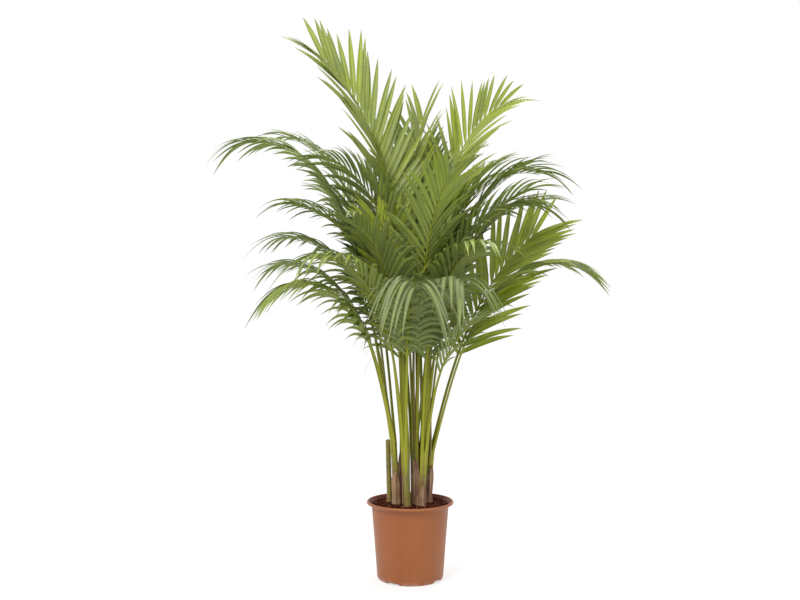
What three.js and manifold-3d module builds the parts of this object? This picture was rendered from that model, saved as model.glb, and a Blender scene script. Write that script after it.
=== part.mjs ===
// A bushy areca palm in a round nursery pot. Millimetres, Z up, origin under the middle of the pot.
import * as THREE from "three";
import { mergeVertices } from "three/addons/utils/BufferGeometryUtils.js";
import ManifoldModule from "manifold-3d";

const kernel = await ManifoldModule();
kernel.setup();

// Pot
const POT_HEIGHT = 210;
const RIM_RADIUS = 120;
const RIM_BAND_HEIGHT = 12;
const WALL_TOP_RADIUS = 107;
const WALL_FOOT_RADIUS = 91;
const WALL_THICKNESS = 2;
const FLOOR_THICKNESS = 3;
const FOOT_RECESS = 2;
const POT_SIDES = 44;
const SLOT_COUNT = 4;
const SLOT_FIRST_ANGLE = 237;
const SLOT_SPAN = 26;
const SLOT_HEIGHT = 7;

// Compost and the fit between neighbouring pieces
const COMPOST_EDGE_LEVEL = 198;
const COMPOST_MOUND = 4;
const COMPOST_SIDES = 28;
const GAP = 0.3;

// Canes
const CANE_SIDES = 8;
const CANE_BURIED = 25;

// Fronds
const STALK_SIDES = 5;
const STALK_RINGS = 9;
const STALK_FOOT_RADIUS = 3.9;
const STALK_MIDDLE_RADIUS = 3.4;
const STALK_TIP_RADIUS = 1;
const SEAT_RADIUS = 5.5;
const LEAFLET_WIDTH = 16;
const LEAFLET_RIDGE = 2;
const SWEEP_AT_FOOT = 48;
const SWEEP_AT_TIP = 20;

const GREEN = 0x6f8a38;
const YOUNG_GREEN = 0x9cb04a;
const CANE_GREEN = 0xa3a248;
const DRY_TAN = 0xb08a68;
const TERRACOTTA = 0xb06a44;
const SOIL_BROWN = 0x3b2419;

// Each cane: where it leaves the compost, where it ends, and its radius at both ends.
const CANES = [
  { name: "cane_stub_left", foot: [-57, 30], top: [-62, 38, 371], radii: [7.8, 6.5] },
  { name: "cane_left", foot: [-37, 0], top: [-46, -2, 378], radii: [9.5, 8.5] },
  { name: "cane_front", foot: [-8, -35], top: [-11, -43, 352], radii: [9, 8.5] },
  { name: "cane_centre", foot: [16, -4], top: [15, 2, 366], radii: [9.5, 8.5] },
  { name: "cane_front_right", foot: [31, -27], top: [37, -36, 340], radii: [8.5, 8] },
  { name: "cane_right", foot: [50, 22], top: [58, 24, 340], radii: [8.5, 8.5] },
  { name: "cane_middle_left", foot: [-25, 25], top: [-19, 27, 392], radii: [9, 8.5] },
  { name: "cane_back", foot: [11, 46], top: [9, 54, 384], radii: [8.5, 8.5] },
  { name: "cane_back_left", foot: [-37, 52], top: [-46, 60, 360], radii: [8.5, 8.5] },
  { name: "cane_back_right", foot: [37, 52], top: [42, 62, 372], radii: [8.5, 8.5] },
  { name: "cane_inner_left", foot: [-11, -3], top: [-15, -8, 335], radii: [7.5, 7.5] },
  { name: "cane_inner_right", foot: [36, 4], top: [40, 2, 330], radii: [7.5, 7.5] },
  { name: "cane_inner_back", foot: [24, 25], top: [27, 24, 350], radii: [7.5, 7.5] },
];

// Each frond: the cane it grows from, the side of the cane it sits on, the way it bows (degrees,
// 0 is +X, 90 is +Y), its length, how far it leans at foot and tip, how late it bends, the share
// of its length that is bare stalk, its leaflet pairs, its longest leaflet, how wide the leaflets
// spread from the midrib, how far they rise out of its plane, how far that plane is twisted, and
// how far each leaflet's tip hangs and its middle arches, as shares of its length.
const FRONDS = [
  { cane: "cane_middle_left", seat: 150, bows: 178, length: 1125, lean: [0.5, 50], bend: 3, bare: 0.55,
    pairs: 19, leaflet: 222, spread: 0.9, rise: 28, twist: -58, droop: 0.1, arch: 0.02 },
  { cane: "cane_middle_left", seat: 270, bows: 215, length: 830, lean: [3, 84], bend: 4, bare: 0.46,
    pairs: 18, leaflet: 215, spread: 1.2, rise: -6, twist: 0, droop: 0.3, arch: 0.06 },
  { cane: "cane_middle_left", seat: 30, bows: 60, length: 940, lean: [1, 26], bend: 3, bare: 0.54,
    pairs: 16, leaflet: 200, spread: 1, rise: 30, twist: 0, droop: 0.14, arch: 0.03 },
  { cane: "cane_left", seat: 185, bows: 181, length: 1010, lean: [9, 106], bend: 4, bare: 0.41,
    pairs: 22, leaflet: 200, spread: 0.95, rise: -14, twist: 0, droop: 0.34, arch: 0.07 },
  { cane: "cane_left", seat: 285, bows: 198, length: 590, lean: [12, 122], bend: 3, bare: 0.46,
    pairs: 16, leaflet: 185, spread: 1.1, rise: -14, twist: 0, droop: 0.46, arch: 0.08 },
  { cane: "cane_left", seat: 85, bows: 172, length: 690, lean: [9, 92], bend: 3, bare: 0.45,
    pairs: 17, leaflet: 205, spread: 1.25, rise: 4, twist: 0, droop: 0.42, arch: 0.06 },
  { cane: "cane_front", seat: 260, bows: 275, length: 590, lean: [6, 125], bend: 3, bare: 0.46,
    pairs: 16, leaflet: 190, spread: 1.2, rise: -8, twist: 0, droop: 0.75, arch: 0.16 },
  { cane: "cane_front", seat: 150, bows: 222, length: 660, lean: [8, 108], bend: 3, bare: 0.44,
    pairs: 17, leaflet: 190, spread: 1.2, rise: 0, twist: 0, droop: 0.45, arch: 0.07 },
  { cane: "cane_front", seat: 20, bows: 190, length: 640, lean: [3, 24], bend: 3, bare: 0.46,
    pairs: 15, leaflet: 175, spread: 1.1, rise: 24, twist: -84, droop: 0.12, arch: 0.03 },
  { cane: "cane_centre", seat: 60, bows: 358, length: 920, lean: [6, 112], bend: 4, bare: 0.46,
    pairs: 20, leaflet: 200, spread: 1.15, rise: 10, twist: 0, droop: 0.28, arch: 0.06 },
  { cane: "cane_centre", seat: 180, bows: 146, length: 880, lean: [2.4, 32], bend: 3, bare: 0.48,
    pairs: 16, leaflet: 205, spread: 1.1, rise: 28, twist: 0, droop: 0.16, arch: 0.03 },
  { cane: "cane_centre", seat: 300, bows: 290, length: 780, lean: [4, 66], bend: 3, bare: 0.46,
    pairs: 16, leaflet: 195, spread: 1.1, rise: 15, twist: 0, droop: 0.22, arch: 0.05 },
  { cane: "cane_front_right", seat: 210, bows: 292, length: 600, lean: [5, 118], bend: 3, bare: 0.46,
    pairs: 15, leaflet: 180, spread: 1.1, rise: -8, twist: 0, droop: 0.65, arch: 0.14 },
  { cane: "cane_front_right", seat: 90, bows: 352, length: 815, lean: [6, 106], bend: 4, bare: 0.46,
    pairs: 17, leaflet: 195, spread: 1.1, rise: -4, twist: 0, droop: 0.36, arch: 0.06 },
  { cane: "cane_front_right", seat: 330, bows: 330, length: 420, lean: [8, 66], bend: 2.5, bare: 0.56,
    pairs: 9, leaflet: 125, spread: 1, rise: 5, twist: 0, droop: 0.22, arch: 0.05 },
  { cane: "cane_right", seat: 340, bows: 352, length: 730, lean: [15, 116], bend: 3, bare: 0.42,
    pairs: 18, leaflet: 180, spread: 0.85, rise: -18, twist: 0, droop: 0.26, arch: 0.07 },
  { cane: "cane_right", seat: 80, bows: 4, length: 700, lean: [14, 52], bend: 2, bare: 0.42,
    pairs: 15, leaflet: 222, spread: 1, rise: 22, twist: 76, droop: 0.08, arch: 0.02 },
  { cane: "cane_right", seat: 200, bows: 95, length: 880, lean: [1, 28], bend: 3, bare: 0.44,
    pairs: 19, leaflet: 200, spread: 1.1, rise: 26, twist: 0, droop: 0.14, arch: 0.03 },
  { cane: "cane_back", seat: 90, bows: 84, length: 840, lean: [5, 96], bend: 3, bare: 0.43,
    pairs: 16, leaflet: 200, spread: 1.2, rise: 5, twist: 0, droop: 0.24, arch: 0.05 },
  { cane: "cane_back", seat: 190, bows: 116, length: 700, lean: [8, 112], bend: 3, bare: 0.43,
    pairs: 15, leaflet: 190, spread: 1.2, rise: -5, twist: 0, droop: 0.26, arch: 0.06 },
  { cane: "cane_back", seat: 340, bows: 56, length: 920, lean: [5, 64], bend: 3, bare: 0.48,
    pairs: 17, leaflet: 205, spread: 1.1, rise: 20, twist: 0, droop: 0.18, arch: 0.04 },
  { cane: "cane_back_left", seat: 150, bows: 158, length: 1020, lean: [7, 82], bend: 4, bare: 0.48,
    pairs: 19, leaflet: 195, spread: 1, rise: 0, twist: 0, droop: 0.22, arch: 0.06 },
  { cane: "cane_back_left", seat: 40, bows: 130, length: 860, lean: [8, 76], bend: 3, bare: 0.46,
    pairs: 16, leaflet: 200, spread: 1.2, rise: 20, twist: 0, droop: 0.2, arch: 0.05 },
  { cane: "cane_back_left", seat: 265, bows: 180, length: 630, lean: [12, 92], bend: 3, bare: 0.46,
    pairs: 16, leaflet: 200, spread: 1.25, rise: 0, twist: 0, droop: 0.42, arch: 0.06 },
  { cane: "cane_back_right", seat: 25, bows: 27, length: 1070, lean: [3.5, 66], bend: 4, bare: 0.52,
    pairs: 18, leaflet: 200, spread: 1, rise: 28, twist: 50, droop: 0.14, arch: 0.03 },
  { cane: "cane_back_right", seat: 280, bows: 6, length: 850, lean: [6, 64], bend: 3, bare: 0.46,
    pairs: 18, leaflet: 205, spread: 1.2, rise: 5, twist: 0, droop: 0.24, arch: 0.05 },
  { cane: "cane_back_right", seat: 130, bows: 72, length: 740, lean: [9, 104], bend: 3, bare: 0.44,
    pairs: 15, leaflet: 195, spread: 1.2, rise: 0, twist: 0, droop: 0.24, arch: 0.05 },
  { cane: "cane_inner_left", seat: 200, bows: 190, length: 800, lean: [5, 84], bend: 3, bare: 0.48,
    pairs: 18, leaflet: 200, spread: 1.15, rise: 2, twist: 0, droop: 0.36, arch: 0.06 },
  { cane: "cane_inner_left", seat: 78, bows: 149, length: 820, lean: [0.5, 40], bend: 3, bare: 0.48,
    pairs: 16, leaflet: 200, spread: 1.1, rise: 22, twist: 0, droop: 0.18, arch: 0.04 },
  { cane: "cane_inner_left", seat: 316, bows: 233, length: 700, lean: [4.8, 72], bend: 3, bare: 0.46,
    pairs: 17, leaflet: 190, spread: 1.2, rise: 6, twist: 0, droop: 0.38, arch: 0.06 },
  { cane: "cane_inner_right", seat: 34, bows: 16, length: 860, lean: [6.4, 88], bend: 3, bare: 0.48,
    pairs: 17, leaflet: 200, spread: 1.15, rise: 6, twist: 0, droop: 0.26, arch: 0.06 },
  { cane: "cane_inner_right", seat: 168, bows: 100, length: 960, lean: [4.7, 38], bend: 3, bare: 0.5,
    pairs: 16, leaflet: 200, spread: 1.1, rise: 24, twist: 0, droop: 0.16, arch: 0.04 },
  { cane: "cane_inner_right", seat: 281, bows: 305, length: 690, lean: [3.2, 98], bend: 3, bare: 0.46,
    pairs: 15, leaflet: 190, spread: 1.15, rise: 0, twist: 0, droop: 0.42, arch: 0.07 },
  { cane: "cane_inner_back", seat: 59, bows: 36, length: 900, lean: [4.8, 62], bend: 3, bare: 0.48,
    pairs: 18, leaflet: 205, spread: 1.15, rise: 10, twist: 0, droop: 0.2, arch: 0.05 },
  { cane: "cane_inner_back", seat: 170, bows: 106, length: 900, lean: [1.9, 44], bend: 3, bare: 0.5,
    pairs: 16, leaflet: 200, spread: 1.1, rise: 20, twist: 0, droop: 0.18, arch: 0.04 },
  { cane: "cane_inner_back", seat: 310, bows: 333, length: 800, lean: [8.6, 74], bend: 3, bare: 0.46,
    pairs: 16, leaflet: 195, spread: 1.15, rise: 4, twist: 0, droop: 0.26, arch: 0.06 },
];

// Unopened leaves: straight rods standing on a cane.
const SPEARS = [
  { cane: "cane_centre", seat: 240, bows: 240, length: 560, lean: 1 },
  { cane: "cane_right", seat: 270, bows: 250, length: 430, lean: 1 },
];

// Dry leaf bases wrapped round the canes.
const DRY_SHEATHS = [
  { name: "dry_sheath_left", cane: "cane_left", from: 204, to: 288, middle: 262, span: 240 },
  { name: "dry_sheath_centre", cane: "cane_centre", from: 204, to: 318, middle: 265, span: 240 },
  { name: "dry_sheath_right", cane: "cane_right", from: 204, to: 296, middle: 290, span: 230 },
  { name: "dry_sheath_front_right", cane: "cane_front_right", from: 204, to: 258, middle: 280, span: 210 },
  { name: "dry_sheath_middle_left", cane: "cane_middle_left", from: 204, to: 342, middle: 250, span: 250 },
  { name: "dry_sheath_inner_left", cane: "cane_inner_left", from: 204, to: 300, middle: 275, span: 220 },
];

const radians = THREE.MathUtils.degToRad;
const mix = THREE.MathUtils.lerp;

// ---- solids and meshes

function solidOf(geometry) {
  const plain = new THREE.BufferGeometry();
  plain.setAttribute("position", geometry.getAttribute("position"));
  if (geometry.index) plain.setIndex(geometry.index);
  const merged = mergeVertices(plain, 1e-3);
  return new kernel.Manifold(
    new kernel.Mesh({
      numProp: 3,
      vertProperties: new Float32Array(merged.attributes.position.array),
      triVerts: new Uint32Array(merged.index.array),
    }),
  );
}

function meshOf(name, solid, color) {
  const data = solid.getMesh();
  const geometry = new THREE.BufferGeometry();
  geometry.setAttribute("position", new THREE.BufferAttribute(data.vertProperties, 3));
  geometry.setIndex(new THREE.BufferAttribute(data.triVerts, 1));
  geometry.computeVertexNormals();
  const mesh = new THREE.Mesh(geometry, new THREE.MeshStandardMaterial({ color, roughness: 0.6 }));
  mesh.name = name;
  return mesh;
}

// Rings of points joined into a closed skin, with a flat cap on the first and last ring.
function skinOf(rings) {
  const sides = rings[0].length;
  const points = rings.flat();
  const faces = [];
  for (let r = 0; r + 1 < rings.length; r++) {
    for (let i = 0; i < sides; i++) {
      const a = r * sides + i;
      const b = r * sides + ((i + 1) % sides);
      faces.push(a, b, b + sides, a, b + sides, a + sides);
    }
  }
  const last = (rings.length - 1) * sides;
  for (let i = 1; i + 1 < sides; i++) {
    faces.push(0, i + 1, i);
    faces.push(last, last + i, last + i + 1);
  }
  const geometry = new THREE.BufferGeometry();
  const numbers = points.flatMap((p) => p.toArray());
  geometry.setAttribute("position", new THREE.Float32BufferAttribute(numbers, 3));
  geometry.setIndex(faces);
  return geometry;
}

function ringAround(centre, across, up, radius, sides) {
  const ring = [];
  for (let i = 0; i < sides; i++) {
    const angle = (2 * Math.PI * i) / sides;
    ring.push(
      centre
        .clone()
        .addScaledVector(across, radius * Math.cos(angle))
        .addScaledVector(up, radius * Math.sin(angle)),
    );
  }
  return ring;
}

// ---- pot and compost

function innerRadius(z) {
  return mix(WALL_FOOT_RADIUS, WALL_TOP_RADIUS, z / POT_HEIGHT) - WALL_THICKNESS;
}

function drainageSlot(angle) {
  const wedge = new THREE.Shape();
  wedge.absarc(0, 0, WALL_FOOT_RADIUS + 8, -radians(SLOT_SPAN / 2), radians(SLOT_SPAN / 2), false);
  wedge.absarc(0, 0, WALL_FOOT_RADIUS - 14, radians(SLOT_SPAN / 2), -radians(SLOT_SPAN / 2), true);
  const geometry = new THREE.ExtrudeGeometry(wedge, {
    depth: SLOT_HEIGHT + 5,
    bevelEnabled: false,
    curveSegments: 5,
  });
  geometry.translate(0, 0, -5);
  geometry.rotateZ(radians(angle));
  return solidOf(geometry);
}

function pot() {
  const profile = [
    [0, 0],
    [34, 0],
    [37, FOOT_RECESS],
    [68, FOOT_RECESS],
    [71, 0],
    [WALL_FOOT_RADIUS - 5, 0],
    [WALL_FOOT_RADIUS - 1.5, 1.5],
    [WALL_FOOT_RADIUS, 5],
    [WALL_TOP_RADIUS - 1, POT_HEIGHT - RIM_BAND_HEIGHT - 4],
    [WALL_TOP_RADIUS + 2, POT_HEIGHT - RIM_BAND_HEIGHT + 1],
    [RIM_RADIUS - 2, POT_HEIGHT - RIM_BAND_HEIGHT],
    [RIM_RADIUS, POT_HEIGHT - RIM_BAND_HEIGHT + 2],
    [RIM_RADIUS, POT_HEIGHT - 3.5],
    [RIM_RADIUS - 3, POT_HEIGHT],
    [WALL_TOP_RADIUS + 1, POT_HEIGHT],
    [innerRadius(POT_HEIGHT) + 1, POT_HEIGHT - 3],
    [innerRadius(POT_HEIGHT - 14), POT_HEIGHT - 14],
    [innerRadius(10), 10],
    [innerRadius(10) - 5, FLOOR_THICKNESS + FOOT_RECESS],
    [0, FLOOR_THICKNESS + FOOT_RECESS],
  ].map(([r, z]) => new THREE.Vector2(r, z));
  const turned = new THREE.LatheGeometry(profile, POT_SIDES);
  turned.rotateX(Math.PI / 2);
  let body = solidOf(turned);
  for (let i = 0; i < SLOT_COUNT; i++) {
    body = body.subtract(drainageSlot(SLOT_FIRST_ANGLE + (360 / SLOT_COUNT) * i));
  }
  return meshOf("pot", body, TERRACOTTA);
}

function compost() {
  const floor = FLOOR_THICKNESS + FOOT_RECESS + GAP;
  const profile = [
    [0, floor],
    [innerRadius(10) - 6, floor],
    [innerRadius(12) - 0.8, 12],
    [innerRadius(COMPOST_EDGE_LEVEL) - 0.8, COMPOST_EDGE_LEVEL],
    [88, COMPOST_EDGE_LEVEL + 1.5],
    [60, COMPOST_EDGE_LEVEL + COMPOST_MOUND - 1],
    [0, COMPOST_EDGE_LEVEL + COMPOST_MOUND],
  ].map(([r, z]) => new THREE.Vector2(r, z));
  const turned = new THREE.LatheGeometry(profile, COMPOST_SIDES);
  turned.rotateX(Math.PI / 2);
  let body = solidOf(turned);
  for (const cane of CANES) body = body.subtract(caneSolid(cane, 0.4));
  return meshOf("compost", body, SOIL_BROWN);
}

// ---- canes and dry sheaths

function caneAxis(cane) {
  const level = COMPOST_EDGE_LEVEL + COMPOST_MOUND;
  const foot = new THREE.Vector3(cane.foot[0], cane.foot[1], level);
  const top = new THREE.Vector3(...cane.top);
  return { foot, top, along: top.clone().sub(foot).normalize() };
}

// A tapering cane; grown makes it that much fatter and deeper, for the hole it stands in.
function caneSolid(cane, grown = 0) {
  const { foot, top, along } = caneAxis(cane);
  const x = new THREE.Vector3(1, 0, 0);
  const y = new THREE.Vector3(0, 1, 0);
  const buried = foot.clone().addScaledVector(along, -CANE_BURIED - grown);
  const swell = foot.clone().addScaledVector(along, 12);
  const rings = [
    ringAround(buried, x, y, cane.radii[0] + 1 + grown, CANE_SIDES),
    ringAround(swell, x, y, cane.radii[0] + grown, CANE_SIDES),
    ringAround(top, x, y, cane.radii[1] + grown, CANE_SIDES),
  ];
  return solidOf(skinOf(rings));
}

function radiusOnCane(cane, z) {
  const { foot, top } = caneAxis(cane);
  return mix(cane.radii[0], cane.radii[1], (z - foot.z) / (top.z - foot.z));
}

// A thin wrap round part of a cane, widest at its foot and coming to a point at its top.
function drySheath(sheath) {
  const cane = CANES.find((c) => c.name === sheath.cane);
  const { foot, top } = caneAxis(cane);
  const levels = 3;
  const cuts = 6;
  const rings = [];
  for (let level = 0; level <= levels; level++) {
    const up = level / levels;
    const z = mix(sheath.from, sheath.to, up);
    const centre = foot.clone().lerp(top, (z - foot.z) / (top.z - foot.z));
    const inner = radiusOnCane(cane, z) + 1.6;
    const half = radians(mix(sheath.span / 2, 16, up ** 1.6));
    const corner = (i, radius) => {
      const angle = radians(sheath.middle) + mix(-half, half, i / cuts);
      return new THREE.Vector3(Math.cos(angle), Math.sin(angle), 0).multiplyScalar(radius).add(centre);
    };
    const ring = [];
    for (let i = 0; i <= cuts; i++) ring.push(corner(i, inner + 1.1));
    for (let i = cuts; i >= 0; i--) ring.push(corner(i, inner));
    rings.push(ring);
  }
  return shellOf(rings);
}

// Like skinOf, for a ring folded flat: outer points first, then the inner ones back again.
function shellOf(rings) {
  const sides = rings[0].length;
  const skin = skinOf(rings);
  const faces = Array.from(skin.index.array).slice(0, 6 * sides * (rings.length - 1));
  const last = (rings.length - 1) * sides;
  for (let i = 0; i + 1 < sides / 2; i++) {
    const a = i;
    const b = i + 1;
    const c = sides - 2 - i;
    const d = sides - 1 - i;
    faces.push(a, c, b, a, d, c);
    faces.push(last + a, last + b, last + c, last + a, last + c, last + d);
  }
  skin.setIndex(faces);
  return solidOf(skin);
}

// ---- fronds

// The stations along a frond's midrib: where it is, the way it runs, its side and its upper face.
function midrib(frond, cane) {
  const seat = radians(frond.seat);
  const point = new THREE.Vector3(...cane.top);
  point.add(new THREE.Vector3(Math.cos(seat), Math.sin(seat), 0).multiplyScalar(SEAT_RADIUS));
  point.z += 0.6;
  const stations = [];
  const fine = 6;
  for (let i = 0; i <= STALK_RINGS * fine; i++) {
    const share = (i / (STALK_RINGS * fine)) ** 0.85;
    const next = ((i + 1) / (STALK_RINGS * fine)) ** 0.85;
    const lean = radians(mix(frond.lean[0], frond.lean[1], share ** frond.bend));
    const way = radians(frond.bows);
    const along = new THREE.Vector3(
      Math.cos(way) * Math.sin(lean),
      Math.sin(way) * Math.sin(lean),
      Math.cos(lean),
    );
    const side = new THREE.Vector3(-Math.sin(way), Math.cos(way), 0);
    side.applyAxisAngle(along, radians(frond.twist));
    const up = along.clone().cross(side);
    if (i % fine === 0) stations.push({ share, point: point.clone(), along, side, up });
    point.addScaledVector(along, (next - share) * frond.length);
  }
  return stations;
}

function stalkRadius(frond, share) {
  if (share < frond.bare) return mix(STALK_FOOT_RADIUS, STALK_MIDDLE_RADIUS, share / frond.bare);
  return mix(STALK_MIDDLE_RADIUS, STALK_TIP_RADIUS, (share - frond.bare) / (1 - frond.bare));
}

function stalkSolid(frond, stations, grown = 0) {
  const rings = stations.map((s) =>
    ringAround(s.point, s.side, s.up, stalkRadius(frond, s.share) + grown, STALK_SIDES),
  );
  for (const corner of rings[0]) corner.z = stations[0].point.z;
  return solidOf(skinOf(rings));
}

function stationAt(stations, share) {
  const after = stations.findIndex((s) => s.share >= share - 1e-9);
  const b = stations[Math.max(1, after)];
  const a = stations[Math.max(1, after) - 1];
  const t = (share - a.share) / (b.share - a.share);
  return {
    point: a.point.clone().lerp(b.point, t),
    along: a.along.clone().lerp(b.along, t).normalize(),
    side: a.side.clone().lerp(b.side, t).normalize(),
    up: a.up.clone().lerp(b.up, t).normalize(),
  };
}

// One leaflet: pointed at both ends, widest in the middle, ridged above, its tip drooping.
function leafletSolid(root, leaflet, grown = 0) {
  const { hand, sweep, rise, length, droop, arch } = leaflet;
  const outward = root.side
    .clone()
    .multiplyScalar(hand * Math.cos(radians(rise)))
    .addScaledVector(root.up, Math.sin(radians(rise)));
  const way = root.along
    .clone()
    .multiplyScalar(Math.cos(radians(sweep)))
    .addScaledVector(outward, Math.sin(radians(sweep)));
  const edge = root.along.clone().addScaledVector(way, -root.along.dot(way)).normalize();
  const face = edge.clone().cross(way).multiplyScalar(hand);
  const level = Math.hypot(way.x, way.y);
  const middle = root.point.clone().addScaledVector(way, 0.42 * length);
  middle.z += (0.97 * arch - 0.15 * droop) * length * level;
  const tip = root.point.clone().addScaledVector(way, 0.99 * length);
  tip.z -= droop * length * level;
  const half = (LEAFLET_WIDTH * (0.55 + (0.45 * length) / 200)) / 2 + grown;
  const ridge = middle.clone().addScaledVector(face, LEAFLET_RIDGE + grown);
  const left = middle.clone().addScaledVector(edge, -half).addScaledVector(face, -grown);
  const right = middle.clone().addScaledVector(edge, half).addScaledVector(face, -grown);
  const start = root.point.clone().addScaledVector(way, -0.4);
  const geometry = new THREE.BufferGeometry();
  const corners = [start, left, ridge, right, tip].flatMap((p) => p.toArray());
  geometry.setAttribute("position", new THREE.Float32BufferAttribute(corners, 3));
  const faces = [0, 1, 2, 0, 2, 3, 0, 3, 1, 4, 2, 1, 4, 3, 2, 4, 1, 3];
  geometry.setIndex(hand > 0 ? faces.reverse() : faces);
  return solidOf(geometry);
}

function boxesMeet(a, b) {
  return [0, 1, 2].every((i) => a.min[i] <= b.max[i] && b.min[i] <= a.max[i]);
}

function isClear(solid, taken, owner) {
  const box = solid.boundingBox();
  const near = taken.filter((t) => t.owner !== owner && boxesMeet(box, t.box));
  return near.every((t) => solid.intersect(t.solid).isEmpty());
}

// What a leaflet may do to miss its neighbours: lift, drop, and last of all be shorter.
const DODGES = [
  [0, 1],
  [9, 1],
  [-9, 1],
  [18, 1],
  [-18, 1],
  [28, 1],
  [-28, 0.9],
  [0, 0.72],
  [14, 0.72],
  [-14, 0.72],
  [0, 0.5],
];

function leafletsOf(frond, stations, owner, taken) {
  const kept = [];
  for (let i = 0; i < frond.pairs; i++) {
    const along = (i + 0.4) / frond.pairs;
    const root = stationAt(stations, mix(frond.bare, 0.992, along));
    for (const hand of [-1, 1]) {
      const wave = Math.sin(7.3 * i + 2.1 * hand + 1.7 * owner);
      const swell = 0.42 + 0.58 * Math.sin(Math.PI * (0.2 + 0.66 * along));
      const length = frond.leaflet * swell * (1 + 0.05 * wave);
      for (const [lift, share] of DODGES) {
        const leaflet = {
          hand,
          sweep: frond.spread * mix(SWEEP_AT_FOOT, SWEEP_AT_TIP, along) + 3 * wave,
          rise: frond.rise + lift - 3 * wave,
          length: length * share,
          droop: frond.droop,
          arch: frond.arch,
        };
        if (!isClear(leafletSolid(root, leaflet, 0.35), taken, owner)) continue;
        const solid = leafletSolid(root, leaflet);
        taken.push({ owner, solid, box: solid.boundingBox() });
        kept.push(solid);
        break;
      }
    }
  }
  return kept;
}

function fronds(taken) {
  const laid = FRONDS.map((frond, owner) => {
    const stations = midrib(frond, CANES.find((c) => c.name === frond.cane));
    const stalk = stalkSolid(frond, stations);
    taken.push({ owner, solid: stalk, box: stalk.boundingBox() });
    return { frond, stations, stalk, owner };
  });
  return laid.map(({ frond, stations, stalk, owner }) => {
    const leaflets = leafletsOf(frond, stations, owner, taken);
    const whole = kernel.Manifold.union([stalk, ...leaflets]);
    return meshOf("frond_" + String(owner + 1).padStart(2, "0"), whole, GREEN);
  });
}

function spearSolid(spear) {
  const cane = CANES.find((c) => c.name === spear.cane);
  const way = radians(spear.bows);
  const lean = radians(spear.lean);
  const along = new THREE.Vector3(
    Math.cos(way) * Math.sin(lean),
    Math.sin(way) * Math.sin(lean),
    Math.cos(lean),
  );
  const seat = radians(spear.seat);
  const foot = new THREE.Vector3(...cane.top);
  foot.add(new THREE.Vector3(Math.cos(seat), Math.sin(seat), 0).multiplyScalar(SEAT_RADIUS));
  foot.z += 0.6;
  const x = new THREE.Vector3(1, 0, 0);
  const y = new THREE.Vector3(0, 1, 0);
  const at = (share, radius) => {
    const centre = foot.clone().addScaledVector(along, share * spear.length);
    return ringAround(centre, x, y, radius, 6);
  };
  return solidOf(skinOf([at(0, 1), at(0.35, 2.6), at(0.75, 2.2), at(1, 0.6)]));
}

// ---- the whole plant

const plant = new THREE.Group();
plant.name = "potted_palm";
const taken = [];

plant.add(pot());
plant.add(compost());

for (const cane of CANES) {
  const solid = caneSolid(cane);
  taken.push({ owner: cane.name, solid, box: solid.boundingBox() });
  plant.add(meshOf(cane.name, solid, CANE_GREEN));
}

for (const sheath of DRY_SHEATHS) {
  const solid = drySheath(sheath);
  taken.push({ owner: sheath.name, solid, box: solid.boundingBox() });
  plant.add(meshOf(sheath.name, solid, DRY_TAN));
}

SPEARS.forEach((spear, i) => {
  const solid = spearSolid(spear);
  const name = "spear_leaf_" + (i + 1);
  taken.push({ owner: name, solid, box: solid.boundingBox() });
  plant.add(meshOf(name, solid, YOUNG_GREEN));
});

for (const mesh of fronds(taken)) plant.add(mesh);

export default plant;
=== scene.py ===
import math

import bpy
from mathutils import Matrix, Vector, noise


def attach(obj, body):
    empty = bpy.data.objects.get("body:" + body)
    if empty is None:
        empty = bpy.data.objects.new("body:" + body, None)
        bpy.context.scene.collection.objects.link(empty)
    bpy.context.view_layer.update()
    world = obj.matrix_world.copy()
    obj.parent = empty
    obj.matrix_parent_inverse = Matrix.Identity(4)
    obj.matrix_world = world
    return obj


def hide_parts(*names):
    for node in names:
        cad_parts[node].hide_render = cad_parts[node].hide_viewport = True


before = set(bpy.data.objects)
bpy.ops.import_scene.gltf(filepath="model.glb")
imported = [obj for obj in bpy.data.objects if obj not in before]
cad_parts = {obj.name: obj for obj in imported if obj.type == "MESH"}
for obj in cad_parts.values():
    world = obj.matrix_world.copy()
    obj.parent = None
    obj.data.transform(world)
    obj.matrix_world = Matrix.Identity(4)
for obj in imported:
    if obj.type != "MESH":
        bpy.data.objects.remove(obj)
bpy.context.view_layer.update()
print("frame loaded:", len(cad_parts), "nodes")

scene = bpy.context.scene


# small helpers, for numbers, node trees, meshes and the frame

def mix(a, b, share):
    return a + (b - a) * share


def put(tree, kind, values=None, **settings):
    # adds a node; a value that is a socket is linked, anything else is set on the input
    node = tree.nodes.new(kind)
    for key, value in settings.items():
        setattr(node, key, value)
    for key, value in (values or {}).items():
        if isinstance(value, bpy.types.NodeSocket):
            tree.links.new(value, node.inputs[key])
        else:
            node.inputs[key].default_value = value
    return node


def take(tree, kind, values=None, **settings):
    # adds a node and gives its first output
    return put(tree, kind, values, **settings).outputs[0]


def calc(tree, operation, *parts):
    return take(tree, "ShaderNodeMath", dict(enumerate(parts)), operation=operation)


def times(tree, *parts):
    return calc(tree, "MULTIPLY", *parts)


def plus(tree, *parts):
    return calc(tree, "ADD", *parts)


def vectorCalc(tree, operation, *parts):
    places = [0, 3] if operation == "SCALE" else [0, 1, 2]
    node = put(tree, "ShaderNodeVectorMath", dict(zip(places, parts)), operation=operation)
    return node.outputs["Value" if operation in ("DOT_PRODUCT", "LENGTH") else "Vector"]


def remap(tree, value, fromMin, fromMax, toMin=0.0, toMax=1.0, smooth=False):
    kind = "SMOOTHSTEP" if smooth else "LINEAR"
    values = {"Value": value, "From Min": fromMin, "From Max": fromMax, "To Min": toMin, "To Max": toMax}
    return put(tree, "ShaderNodeMapRange", values, interpolation_type=kind).outputs["Result"]


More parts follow.
